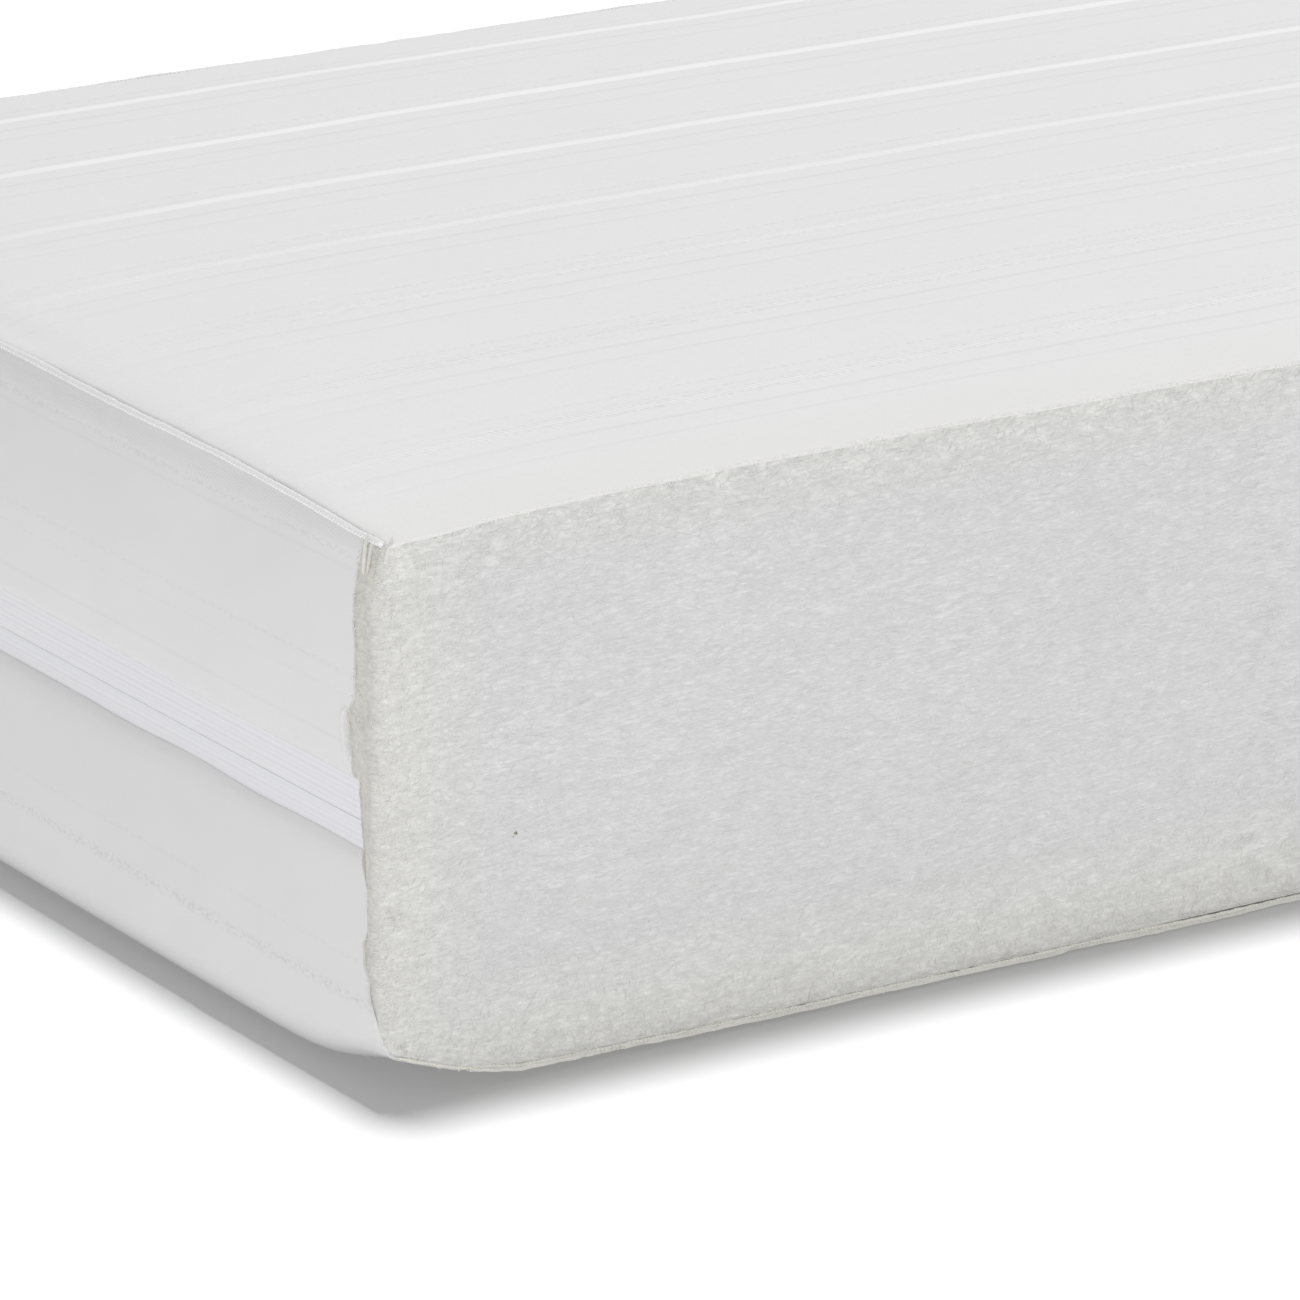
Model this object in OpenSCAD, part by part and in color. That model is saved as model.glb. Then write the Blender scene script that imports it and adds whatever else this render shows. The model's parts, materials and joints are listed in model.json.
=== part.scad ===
// Cradle mattress shown cut open along one long side: foam core, fibre wadding,
// and a ticking cover that zips off round the left end, the back and the right end.
// Frame: +X along the length, +Y from the cut front face to the back, +Z up.
// Origin: centre of the footprint, on the surface that the mattress lies on.

/* [Overall size] */
// Length along the long side
length = 900; // [600:10:1400]
// Width from the cut front face to the back border
width = 400; // [300:10:900]
// Thickness of the whole mattress
height = 140; // [130:2:160]
// Radius of the two back corners in plan
corner_r = 40; // [39:1:60]

/* [Core] */
// Thickness of the fibre wadding on every face
wadding_t = 12; // [8:1:14]
// Thickness of the memory foam layer on top of the support foam
memory_t = 40; // [20:5:50]
// Distance from the fullest bulge of the cover to the wadding
core_inset = 10; // [10:0.5:11]
// Radius of the wadding's lower edges
core_bottom_r = 11; // [8:1:14]
// Radius of the wadding's upper edges
core_top_r = 6; // [3:1:10]
// Radius of the wadding's two upright corners at the cut face
core_front_r = 15; // [8:1:16]

/* [Cover] */
// Thickness of the ticking
ticking_t = 2; // [1.5:0.25:2.5]
// How far the border pulls in at its two seams
border_pull_in = 3.5; // [3:0.1:3.6]
// Radius of the cover's lower edges
bottom_r = 18; // [16:1:24]
// Width of the lower border's strip on the underside
under_lap = 6; // [4:0.5:6]
// Distance from the cut face to the cut ends of the upper border
upper_setback = 10; // [8:1:20]
// Distance from the cut face to the cut ends of the lower border
lower_setback = 3; // [2:1:20]
// Radius of the bead of the top seam
top_bead_r = 1; // [0.8:0.1:1]
// Radius of the bead of the bottom seam
bottom_bead_r = 0.9; // [0.6:0.1:0.9]

/* [Zip] */
// Height of the middle of the zip
zip_z = 66; // [64:0.5:70]
// Height of the band that shows between the two borders
zip_band_h = 16; // [14:0.5:18]
// Width of each zip tape
tape_w = 15.4; // [13:0.2:16]
// Thickness of each zip tape
tape_t = 0.8; // [0.6:0.1:0.8]
// Width of the slit between the two tapes
slit_w = 1.2; // [1.1:0.1:1.4]
// Height of one coil's cross-section
coil_w = 3; // [2.6:0.1:3]
// Depth of one coil's cross-section
coil_t = 2.4; // [2:0.1:2.4]
// Distance from the cut face to the cut ends of the tapes and coils
zip_setback = 16; // [8:1:20]
// Distance from the slider at rest to the end of the zip's straight back run
slider_from_end = 40; // [36:1:60]
// Length of the pull from its pivot to its tip
pull_len = 24; // [18:1:30]
// Width of the pull
pull_w = 6; // [5.6:0.1:7]

/* [Hidden] */
$fn = 64;

half_l = length / 2;
half_w = width / 2;
run_end_y = half_w - corner_r;          // where the straight side runs meet the back corners
core_floor = ticking_t;                 // underside of the wadding
core_roof = height - ticking_t;         // top of the wadding
foam_floor = core_floor + wadding_t;
foam_roof = core_roof - wadding_t;
foam_half_l = half_l - core_inset - wadding_t;
foam_front_y = -half_w + wadding_t;
foam_back_y = half_w - core_inset - wadding_t;
split_z = foam_roof - memory_t;         // where the two foams meet
upper_front_y = -half_w + upper_setback;
lower_front_y = -half_w + lower_setback;
zip_front_y = -half_w + zip_setback;
upper_edge_z = zip_z + zip_band_h / 2;  // lower edge of the upper border
lower_edge_z = zip_z - zip_band_h / 2;  // upper edge of the lower border
arc_steps = 12;
bow_steps = 12;

// Depths below are measured inwards from the cover's fullest bulge.
seam_depth = border_pull_in + 0.5;      // edge of the top panel
lap_depth = bottom_r + under_lap;       // end of the lower border on the underside
panel_depth = lap_depth + 2;            // edge of the bottom panel
tape_depth = border_pull_in + ticking_t;
coil_depth = tape_depth + tape_t;
coil_back = coil_depth + coil_t;

// Slider and pull
plate_t = 1;
inner_plate_t = 0.8;
slider_gap = 0.2;                       // running gap between the slider and the tapes
slider_x = half_l - corner_r - slider_from_end;
plate_depth = tape_depth - slider_gap - plate_t;
inner_plate_depth = coil_back + 0.25;
flange_z = slit_w / 2 + coil_w + 0.3;   // inner side of each flange, from the zip's middle
flange_t = 1;
post_w = 0.7;
arch_t = 0.8;
arch_w = 1.6;
arch_half_l = 3.3;
arch_depth = plate_depth - 2.4;         // outermost face of the arch
pivot_r = 0.55;
pivot_depth = plate_depth - 0.8;
pull_t = 1.1;
pull_neck = 4.4;                        // from the pivot to the solid part of the pull

// ---------- shapes shared by several pieces ----------

// A profile (x = depth, y = height) carried along the left end, the back and the right end.
module around(front_y) {
    for (side = [0, 1]) mirror([side, 0, 0]) {
        translate([-half_l, run_end_y, 0]) rotate([90, 0, 0])
            linear_extrude(run_end_y - front_y) children();
        translate([-half_l + corner_r, run_end_y, 0]) rotate([0, 0, 90])
            rotate_extrude(angle = 90) translate([corner_r, 0]) mirror([1, 0]) children();
    }
    translate([-half_l + corner_r, half_w, 0]) mirror([0, 1, 0]) rotate([90, 0, 90])
        linear_extrude(length - 2 * corner_r) children();
}

// Points of an arc from angle a to angle b.
function arc(cx, cy, r, a, b) =
    [for (i = [0:arc_steps]) let (t = a + (b - a) * i / arc_steps) [cx + r * cos(t), cy + r * sin(t)]];

// The core's section from its outer face in to a given depth.
module core_section(depth) {
    lower = arc(core_inset + core_bottom_r, core_floor + core_bottom_r, core_bottom_r, 180, 270);
    upper = arc(core_inset + core_top_r, core_roof - core_top_r, core_top_r, 90, 180);
    polygon(concat(upper, lower, [[depth, core_floor], [depth, core_roof]]));
}

// The whole wadded core, with its rounded lower edges and upright corners.
module core_body() {
    difference() {
        union() {
            for (side = [0, 1]) mirror([side, 0, 0]) {
                translate([-half_l, run_end_y, 0]) rotate([90, 0, 0])
                    linear_extrude(run_end_y + half_w) core_section(half_l);
                translate([-half_l + corner_r, run_end_y, 0]) rotate([0, 0, 90])
                    rotate_extrude(angle = 90) translate([corner_r, 0]) mirror([1, 0]) core_section(corner_r);
            }
            translate([-half_l + corner_r, half_w, 0]) mirror([0, 1, 0]) rotate([90, 0, 90])
                linear_extrude(length - 2 * corner_r) core_section(corner_r);
        }
        for (side = [0, 1]) mirror([side, 0, 0]) front_corner_cutter();
    }
}

// Rounds one upright corner of the core at the cut face.
module front_corner_cutter() {
    translate([-half_l + core_inset, -half_w, -1]) difference() {
        translate([-1, -1, 0]) cube([core_front_r + 1, core_front_r + 1, height + 2]);
        translate([core_front_r, core_front_r, -1]) cylinder(r = core_front_r, h = height + 4);
    }
}

// A box given by its lowest and highest corners.
module box(low, high) {
    translate(low) cube(high - low);
}

// The part of the wadded core inside a box.
module core_part(low, high) {
    intersection() {
        core_body();
        box(low, high);
    }
}

// A sheet with straight front corners and rounded back corners, a given depth in from the bulge.
module sheet(depth, z, t) {
    r = corner_r - depth;
    translate([0, 0, z]) linear_extrude(t) union() {
        translate([-half_l + depth, -half_w]) square([length - 2 * depth, width - corner_r]);
        translate([-half_l + corner_r, -half_w]) square([length - 2 * corner_r, width - depth]);
        for (side = [-1, 1]) translate([side * (half_l - corner_r), run_end_y]) circle(r = r);
    }
}

// ---------- core ----------

module base_foam() {
    color("#e9e4cf")
        box([-foam_half_l, foam_front_y, foam_floor], [foam_half_l, foam_back_y, split_z]);
}

module memory_foam() {
    color("#f3ecd2")
        box([-foam_half_l, foam_front_y, split_z], [foam_half_l, foam_back_y, foam_roof]);
}

module top_wadding() {
    color("#e6e4de")
        core_part([-foam_half_l, foam_front_y, foam_roof], [foam_half_l, foam_back_y, height]);
}

module bottom_wadding() {
    color("#e6e4de")
        core_part([-foam_half_l, foam_front_y, 0], [foam_half_l, foam_back_y, foam_floor]);
}

module front_wadding() {
    color("#e2e0da")
        core_part([-half_l, -half_w, 0], [half_l, foam_front_y, height]);
}

module back_wadding() {
    color("#e6e4de")
        core_part([-half_l, foam_back_y, 0], [half_l, half_w, height]);
}

module end_wadding() {
    color("#e6e4de")
        core_part([-half_l, foam_front_y, 0], [-foam_half_l, foam_back_y, height]);
}

module left_wadding() {
    end_wadding();
}

module right_wadding() {
    mirror([1, 0, 0]) end_wadding();
}

// ---------- cover ----------

module top_panel() {
    color("#f4f4f3") sheet(seam_depth, height - ticking_t, ticking_t);
}

module bottom_panel() {
    color("#f1efe9") sheet(panel_depth, 0, ticking_t);
}

// A strip of ticking that bulges between its two seams.
module upper_border() {
    span = core_roof - upper_edge_z;
    outer = [for (i = [0:bow_steps]) let (u = i / bow_steps)
        [border_pull_in * pow(2 * u - 1, 2), upper_edge_z + span * u]];
    inner = [for (i = [bow_steps:-1:0]) outer[i] + [ticking_t, 0]];
    color("#efefee") around(upper_front_y) polygon(concat(outer, inner));
}

// A strip of ticking that bulges below the zip and turns under the mattress.
module lower_border() {
    span = lower_edge_z - bottom_r;
    bow = [for (i = [bow_steps:-1:1]) let (u = i / bow_steps)
        [border_pull_in * u * u, bottom_r + span * u]];
    turn = arc(bottom_r, bottom_r, bottom_r, 180, 270);
    turn_back = arc(bottom_r, bottom_r, bottom_r - ticking_t, 270, 180);
    bow_back = [for (i = [1:bow_steps]) bow[bow_steps - i] + [ticking_t, 0]];
    lap = [[lap_depth, 0], [lap_depth, ticking_t]];
    color("#efefee") around(lower_front_y)
        polygon(concat(bow, turn, lap, turn_back, bow_back));
}

module top_seam() {
    color("#fafafa") around(-half_w)
        translate([seam_depth - top_bead_r, height - top_bead_r]) circle(r = top_bead_r);
}

module bottom_seam() {
    color("#fafafa") around(lower_front_y)
        translate([(lap_depth + panel_depth) / 2, bottom_bead_r + 0.1]) circle(r = bottom_bead_r);
}

// ---------- zip ----------

// One tape, above the slit (side = 1) or below it (side = -1).
module zip_tape(side) {
    low_z = side > 0 ? zip_z + slit_w / 2 : zip_z - slit_w / 2 - tape_w;
    color("#eef1f6") around(zip_front_y)
        translate([tape_depth, low_z]) square([tape_t, tape_w]);
}

module upper_zip_tape() {
    zip_tape(1);
}

module lower_zip_tape() {
    zip_tape(-1);
}

// One coil, sewn behind the inner edge of its tape.
module zip_coil(side) {
    r = coil_t / 2;
    mid_z = zip_z + side * (slit_w + coil_w) / 2;
    color("#f7f8fa") around(zip_front_y) translate([coil_depth + r, mid_z]) union() {
        for (end = [-1, 1]) translate([0, end * (coil_w / 2 - r)]) circle(r = r);
        translate([-r, r - coil_w / 2]) square([coil_t, coil_w - coil_t]);
    }
}

module upper_zip_coil() {
    zip_coil(1);
}

module lower_zip_coil() {
    zip_coil(-1);
}

// Puts a piece drawn with x along the zip, y as depth and z up at the slider's place.
module at_slider() {
    translate([slider_x, half_w, zip_z]) mirror([0, 1, 0]) children();
}

// A plate in the zip's plane, from one depth to another, with round ends.
module slider_plate(depth, t, half_x, half_z) {
    r = half_z * 0.7;
    translate([0, depth + t, 0]) rotate([90, 0, 0]) linear_extrude(t) union() {
        for (sx = [-1, 1], sz = [-1, 1])
            translate([sx * (half_x - r), sz * (half_z - r)]) circle(r = r);
        square([2 * (half_x - r), 2 * half_z], center = true);
        square([2 * half_x, 2 * (half_z - r)], center = true);
    }
}

module zip_slider() {
    flange_depth = coil_depth + slider_gap;
    flange_half_l = 4.4;
    color("#dcdde0") at_slider() union() {
        slider_plate(plate_depth, plate_t, 5, 3.4);
        slider_plate(inner_plate_depth, inner_plate_t, 5.6, flange_z + flange_t);
        // Post through the slit, at the end that parts the coils
        box([1.5, plate_depth + plate_t / 2, -post_w / 2],
            [4.5, inner_plate_depth + inner_plate_t / 2, post_w / 2]);
        for (side = [0, 1]) mirror([0, 0, side])
            box([-flange_half_l, flange_depth, flange_z],
                [flange_half_l, inner_plate_depth + inner_plate_t / 2, flange_z + flange_t]);
        // Arch that holds the pull
        box([-arch_half_l, arch_depth, -arch_w / 2], [arch_half_l, arch_depth + arch_t, arch_w / 2]);
        for (side = [0, 1]) mirror([side, 0, 0])
            box([arch_half_l - arch_t, arch_depth, -arch_w / 2],
                [arch_half_l, plate_depth + plate_t / 2, arch_w / 2]);
    }
}

module zip_pull() {
    arm_in = arch_w / 2 + 0.4;
    arm_w = pull_w / 2 - arm_in;
    slot_r = 1.2;
    color("#dcdde0") at_slider() difference() {
        union() {
            // Pivot bar under the arch
            translate([0, pivot_depth, -pull_w / 2]) cylinder(r = pivot_r, h = pull_w);
            for (side = [0, 1]) mirror([0, 0, side])
                box([0, pivot_depth - pull_t / 2, arm_in],
                    [pull_neck + 0.5, pivot_depth + pull_t / 2, arm_in + arm_w]);
            box([pull_neck, pivot_depth - pull_t / 2, -pull_w / 2],
                [pull_len - pull_w / 2, pivot_depth + pull_t / 2, pull_w / 2]);
            translate([pull_len - pull_w / 2, pivot_depth + pull_t / 2, 0]) rotate([90, 0, 0])
                cylinder(r = pull_w / 2, h = pull_t);
        }
        // Slot near the tip
        for (x = [pull_len - 7, pull_len - 3.4]) translate([x, pivot_depth + pull_t, 0])
            rotate([90, 0, 0]) cylinder(r = slot_r, h = 2 * pull_t);
        box([pull_len - 7, pivot_depth - pull_t, -slot_r], [pull_len - 3.4, pivot_depth + pull_t, slot_r]);
    }
}

base_foam();
memory_foam();
top_wadding();
bottom_wadding();
front_wadding();
back_wadding();
left_wadding();
right_wadding();
top_panel();
upper_border();
top_seam();
bottom_panel();
lower_border();
bottom_seam();
upper_zip_tape();
lower_zip_tape();
upper_zip_coil();
lower_zip_coil();
zip_slider();
zip_pull();
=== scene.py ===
import json
import math

import bpy
import numpy as np
from mathutils import Matrix, Vector

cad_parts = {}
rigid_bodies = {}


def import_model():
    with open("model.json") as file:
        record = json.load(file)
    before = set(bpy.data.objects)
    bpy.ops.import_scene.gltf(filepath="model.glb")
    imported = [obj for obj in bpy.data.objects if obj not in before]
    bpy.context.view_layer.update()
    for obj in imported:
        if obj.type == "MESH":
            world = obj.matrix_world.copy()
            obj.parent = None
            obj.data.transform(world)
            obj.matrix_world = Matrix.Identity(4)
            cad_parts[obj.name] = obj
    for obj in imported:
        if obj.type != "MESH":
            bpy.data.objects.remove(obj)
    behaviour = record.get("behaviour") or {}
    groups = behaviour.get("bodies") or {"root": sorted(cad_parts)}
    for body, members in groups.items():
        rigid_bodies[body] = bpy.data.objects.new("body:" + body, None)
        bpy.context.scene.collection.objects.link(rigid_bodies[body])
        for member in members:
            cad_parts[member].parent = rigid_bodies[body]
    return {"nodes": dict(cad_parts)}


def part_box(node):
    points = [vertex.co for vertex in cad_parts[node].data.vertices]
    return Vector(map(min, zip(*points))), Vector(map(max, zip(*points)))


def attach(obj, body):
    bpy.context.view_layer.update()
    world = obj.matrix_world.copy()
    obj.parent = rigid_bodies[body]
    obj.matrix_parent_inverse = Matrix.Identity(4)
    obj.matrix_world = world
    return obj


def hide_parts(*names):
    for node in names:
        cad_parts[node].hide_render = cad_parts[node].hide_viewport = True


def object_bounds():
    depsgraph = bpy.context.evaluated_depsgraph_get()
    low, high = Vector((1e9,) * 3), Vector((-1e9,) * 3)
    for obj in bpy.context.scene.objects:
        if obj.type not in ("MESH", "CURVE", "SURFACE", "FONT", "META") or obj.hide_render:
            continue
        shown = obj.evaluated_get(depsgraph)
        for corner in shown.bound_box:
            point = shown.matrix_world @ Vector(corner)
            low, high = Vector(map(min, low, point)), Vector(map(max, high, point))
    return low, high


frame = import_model()
CAD_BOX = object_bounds()

# ---------------------------------------------------------------- measures, in millimetres

MM = 0.001
LOW, HIGH = (np.array(corner) / MM for corner in CAD_BOX)


def node_box(node):
    """A CAD node's lowest and highest corners, in millimetres."""
    return [np.array(corner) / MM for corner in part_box(node)]


HALF_X = HIGH[0]
FRONT_Y, BACK_Y = LOW[1], HIGH[1]
TOP_Z = HIGH[2]
PLAN_RADIUS = 40.0
SIDE_RUN = BACK_Y - PLAN_RADIUS - FRONT_Y
CORNER_RUN = math.pi / 2 * PLAN_RADIUS
BACK_RUN = 2 * (HALF_X - PLAN_RADIUS)
RAIL_LENGTH = 2 * SIDE_RUN + 2 * CORNER_RUN + BACK_RUN

PANEL_LOW, PANEL_HIGH = node_box("top_panel")
BASE_LOW, BASE_HIGH = node_box("bottom_panel")
UPPER_EDGE = node_box("upper_border")[0][2] + 1.5
LOWER_EDGE = node_box("lower_border")[1][2] + 1.0
ZIP_Z = (node_box("upper_zip_tape")[0][2] + node_box("lower_zip_tape")[1][2]) / 2
CLOTH = 0.9
PANEL_INSET = 0.7
SEAM_Z = TOP_Z - 1.1
HEM_INSET = 4.3
TAPE_INSET = HEM_INSET + 0.97
UPPER_CURL, LOWER_CURL = 0.75, 0.78
TURN_RADIUS = 14.0
LAP = HALF_X - BASE_HIGH[0] - 2.0

# The woven stripes of the ticking repeat across the cloth. Within one repeat: two dark lines,
# a ribbed satin band and a dotted line.
STRIPE_PITCH = 52.7
LINE_NEAR, LINE_MAIN, SATIN, DOTTED = 5.5, 15.0, 24.0, 33.5
STRIPE_START = FRONT_Y + 34.3 - LINE_MAIN


# ---------------------------------------------------------------- smooth noise

LATTICES = {}


def value_noise(u, v, seed):
    """Smooth noise from -1 to 1 over the plane, the same on every run."""
    size = 128
    if seed not in LATTICES:
        LATTICES[seed] = np.random.default_rng(seed).random((size, size)) * 2 - 1
    lattice = LATTICES[seed]
    u, v = np.broadcast_arrays(np.asarray(u, float), np.asarray(v, float))
    iu, iv = np.floor(u).astype(int), np.floor(v).astype(int)
    fu, fv = u - iu, v - iv
    fu, fv = smooth_step(fu), smooth_step(fv)
    a = lattice[iu % size, iv % size]
    b = lattice[(iu + 1) % size, iv % size]
    c = lattice[iu % size, (iv + 1) % size]
    d = lattice[(iu + 1) % size, (iv + 1) % size]
    return (a * (1 - fu) + b * fu) * (1 - fv) + (c * (1 - fu) + d * fu) * fv


def fbm(u, v, seed, octaves=4, gain=0.5):
    """Layered noise, about -1 to 1."""
    total, weight, size = 0.0, 1.0, 0.0
    for octave in range(octaves):
        total = total + weight * value_noise(u * 2**octave, v * 2**octave, seed + octave)
        size += weight
        weight *= gain
    return total / size


def bell(distance, width):
    """1 at no distance, fading to 0 over about twice the width."""
    return np.exp(-((distance / width) ** 2))


def fade(distance, reach, power=1.0):
    """1 up to no distance, then fading away over about reach."""
    return np.exp(-((np.maximum(distance, 0) / reach) ** power))


def rounded_off(beyond, radius):
    """How far a round edge has fallen back at a distance beyond the start of its arc."""
    beyond = np.clip(beyond, 0, radius)
    return radius - np.sqrt(radius**2 - beyond**2)


def joined(*stretches):
    """Sample places along stretches of (start, stop, count) that follow on from each other."""
    parts = [np.linspace(*stretch)[:-1] for stretch in stretches[:-1]]
    return np.concatenate([*parts, np.linspace(*stretches[-1])])


def table_value(place, table):
    """The value at a place, from a table of (place, value) pairs."""
    return np.interp(place, *zip(*table))


def smooth_step(share):
    """From 0 to 1 as share does, but level at both ends."""
    return share * share * (3 - 2 * share)


def spaced(start, stop, fine, coarse, reach):
    """Sample places from start to stop, fine within reach of both ends and coarse between."""
    places = [start]
    while places[-1] < stop:
        nearest = min(places[-1] - start, stop - places[-1])
        blend = min(1.0, max(0.0, nearest / reach - 0.8) * 2)
        places.append(places[-1] + fine + (coarse - fine) * blend)
    places[-1] = stop
    if places[-1] - places[-2] < fine * 0.4:
        places.pop(-2)
    return np.array(places)


# ---------------------------------------------------------------- meshes

def mesh_piece(name, points, faces, material, slot, replaces=(), smooth=True):
    """A piece from points in millimetres and an array of quads or triangles."""
    mesh = bpy.data.meshes.new(name)
    sides = faces.shape[1]
    mesh.vertices.add(len(points))
    mesh.vertices.foreach_set("co", (np.asarray(points) * MM).astype(np.float32).ravel())
    mesh.loops.add(faces.size)
    mesh.loops.foreach_set("vertex_index", faces.astype(np.int32).ravel())
    mesh.polygons.add(len(faces))
    mesh.polygons.foreach_set("loop_start", np.arange(0, faces.size, sides, dtype=np.int32))
    mesh.polygons.foreach_set("use_smooth", np.full(len(faces), smooth, dtype=bool))
    mesh.update(calc_edges=True)
    mesh.validate()
    if smooth:
        mesh.set_sharp_from_angle(angle=math.radians(74))
    piece = bpy.data.objects.new(name, mesh)
    bpy.context.scene.collection.objects.link(piece)
    mesh.materials.append(material)
    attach(piece, "mattress")
    if replaces:
        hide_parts(*replaces)
    return piece


def points_at(x, y, z):
    """A grid of points from three grids, each as large as it needs to be."""
    return np.stack(np.broadcast_arrays(x, y, z), axis=-1)


def shell_faces(rows, columns, wrap_columns=False):
    """Quads over a grid of rows and columns of points."""
    across = columns if wrap_columns else columns - 1
    r, c = np.meshgrid(np.arange(rows - 1), np.arange(across), indexing="ij")
    r, c = r.ravel(), c.ravel()
    nxt = (c + 1) % columns
    return np.stack([r * columns + c, r * columns + nxt, (r + 1) * columns + nxt,
                     (r + 1) * columns + c], axis=1)


def closed_sheet(outer, inner):
    """Points and quads of a thin closed sheet between two grids of points of the same shape."""
    rows, columns = outer.shape[:2]
    count = rows * columns
    points = np.concatenate([outer.reshape(-1, 3), inner.reshape(-1, 3)])
    top = shell_faces(rows, columns)
    under = top[:, ::-1] + count
    edge = np.concatenate([
        np.arange(columns),
        np.arange(1, rows) * columns + columns - 1,
        (rows - 1) * columns + np.arange(columns - 2, -1, -1),
        np.arange(rows - 2, 0, -1) * columns,
    ])
    following = np.roll(edge, -1)
    rim = np.stack([edge, edge + count, following + count, following], axis=1)
    return points, np.concatenate([top, under, rim])


def closed_roll(rings):
    """Points and quads of a closed roll through rings of points, with quads over both ends."""
    rows, sides = rings.shape[:2]
    first = [[k, k + 1, sides - 2 - k, sides - 1 - k] for k in range(sides // 2 - 1)]
    last = np.array(first)[:, ::-1] + (rows - 1) * sides
    faces = np.concatenate([shell_faces(rows, sides, wrap_columns=True), first, last])
    return rings.reshape(-1, 3), faces


def rail(s):
    """Where the cover's fullest outline is, and which way is out, at distance s along it.

    It starts at the left front corner, goes back along the left side, across the back and
    forward along the right side."""
    s = np.asarray(s, float)
    a = SIDE_RUN
    b = a + CORNER_RUN
    c = b + BACK_RUN
    d = c + CORNER_RUN
    left = (s - a) / PLAN_RADIUS
    right = (s - c) / PLAN_RADIUS
    zero, one = np.zeros_like(s), np.ones_like(s)
    when = [s < a, s < b, s < c, s < d]
    nx = np.select(when, [-one, -np.cos(left), zero, np.sin(right)], one)
    ny = np.select(when, [zero, np.sin(left), one, np.cos(right)], zero)
    inner_x, inner_y = HALF_X - PLAN_RADIUS, BACK_Y - PLAN_RADIUS
    cx = np.clip(s - b - inner_x, -inner_x, inner_x)
    cy = inner_y - np.maximum(a - s, 0) - np.maximum(s - d, 0)
    return cx + PLAN_RADIUS * nx, cy + PLAN_RADIUS * ny, nx, ny


def from_cut(s):
    """How far along the outline the nearer of its two front ends is."""
    return np.minimum(s, RAIL_LENGTH - s)


def around(s, inset, z):
    """Points round the cover: distance s along the outline, inset inwards, height z."""
    x, y, nx, ny = rail(s)
    return points_at(x - inset * nx, y - inset * ny, z)


def strip_round(s, inset, z, thickness, hem=1.0):
    """Points and quads of a strip of cloth swept round the cover, with rounded long edges.

    s, inset and z are grids: rows go along the strip, columns from its upper to its lower edge."""
    d_inset = np.gradient(inset, axis=1)
    d_z = np.gradient(z, axis=1)
    length = np.maximum(np.hypot(d_inset, d_z), 1e-6)
    out_inset, out_z = d_z / length, -d_inset / length
    steps = np.hypot(np.diff(inset, axis=1), np.diff(z, axis=1))
    run = np.concatenate([np.zeros((len(s), 1)), np.cumsum(steps, axis=1)], axis=1)
    to_edge = np.minimum(run, run[:, -1:] - run)
    taper = np.sqrt(np.clip(1 - (1 - np.clip(to_edge / hem, 0, 1)) ** 2, 0.01, 1))
    half = thickness / 2 * taper
    outer = around(s, inset + out_inset * half, z + out_z * half)
    inner = around(s, inset - out_inset * half, z - out_z * half)
    return closed_sheet(outer, inner)


def tubes(paths, radius, sides=3, flat=1.0):
    """Points and triangles of many closed tubes at once. paths is tubes x points x 3.

    flat below 1 makes them thinner front to back than they are wide."""
    count, steps, _ = paths.shape
    ahead = np.gradient(paths, axis=1)
    ahead /= np.maximum(np.linalg.norm(ahead, axis=2, keepdims=True), 1e-9)
    helper = np.where(np.abs(ahead[..., 1:2]) < 0.9, [[[0.0, 1.0, 0.0]]], [[[0.0, 0.0, 1.0]]])
    side = np.cross(ahead, helper)
    side /= np.maximum(np.linalg.norm(side, axis=2, keepdims=True), 1e-9)
    other = np.cross(ahead, side)
    radius = np.broadcast_to(radius, (count, steps)).copy()
    radius[:, 0] *= 0.35
    radius[:, -1] *= 0.35
    turn = np.arange(sides) * 2 * math.pi / sides
    ring = (paths[:, :, None, :]
            + radius[:, :, None, None] * (side[:, :, None, :] * np.cos(turn)[:, None]
                                          + other[:, :, None, :]
                                          * (flat * np.sin(turn))[:, None]))
    points = ring.reshape(-1, 3)
    body = shell_faces(steps, sides, wrap_columns=True)
    every = np.arange(count)[:, None, None] * steps * sides
    quads = (body[None] + every).reshape(-1, 4)
    triangles = np.concatenate([quads[:, [0, 1, 2]], quads[:, [0, 2, 3]]])
    caps = []
    for k in range(1, sides - 1):
        caps.append([0, k + 1, k])
        last = (steps - 1) * sides
        caps.append([last, last + k, last + k + 1])
    caps = (np.array(caps)[None] + every).reshape(-1, 3)
    return points, np.concatenate([triangles, caps])


# ---------------------------------------------------------------- materials

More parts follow.
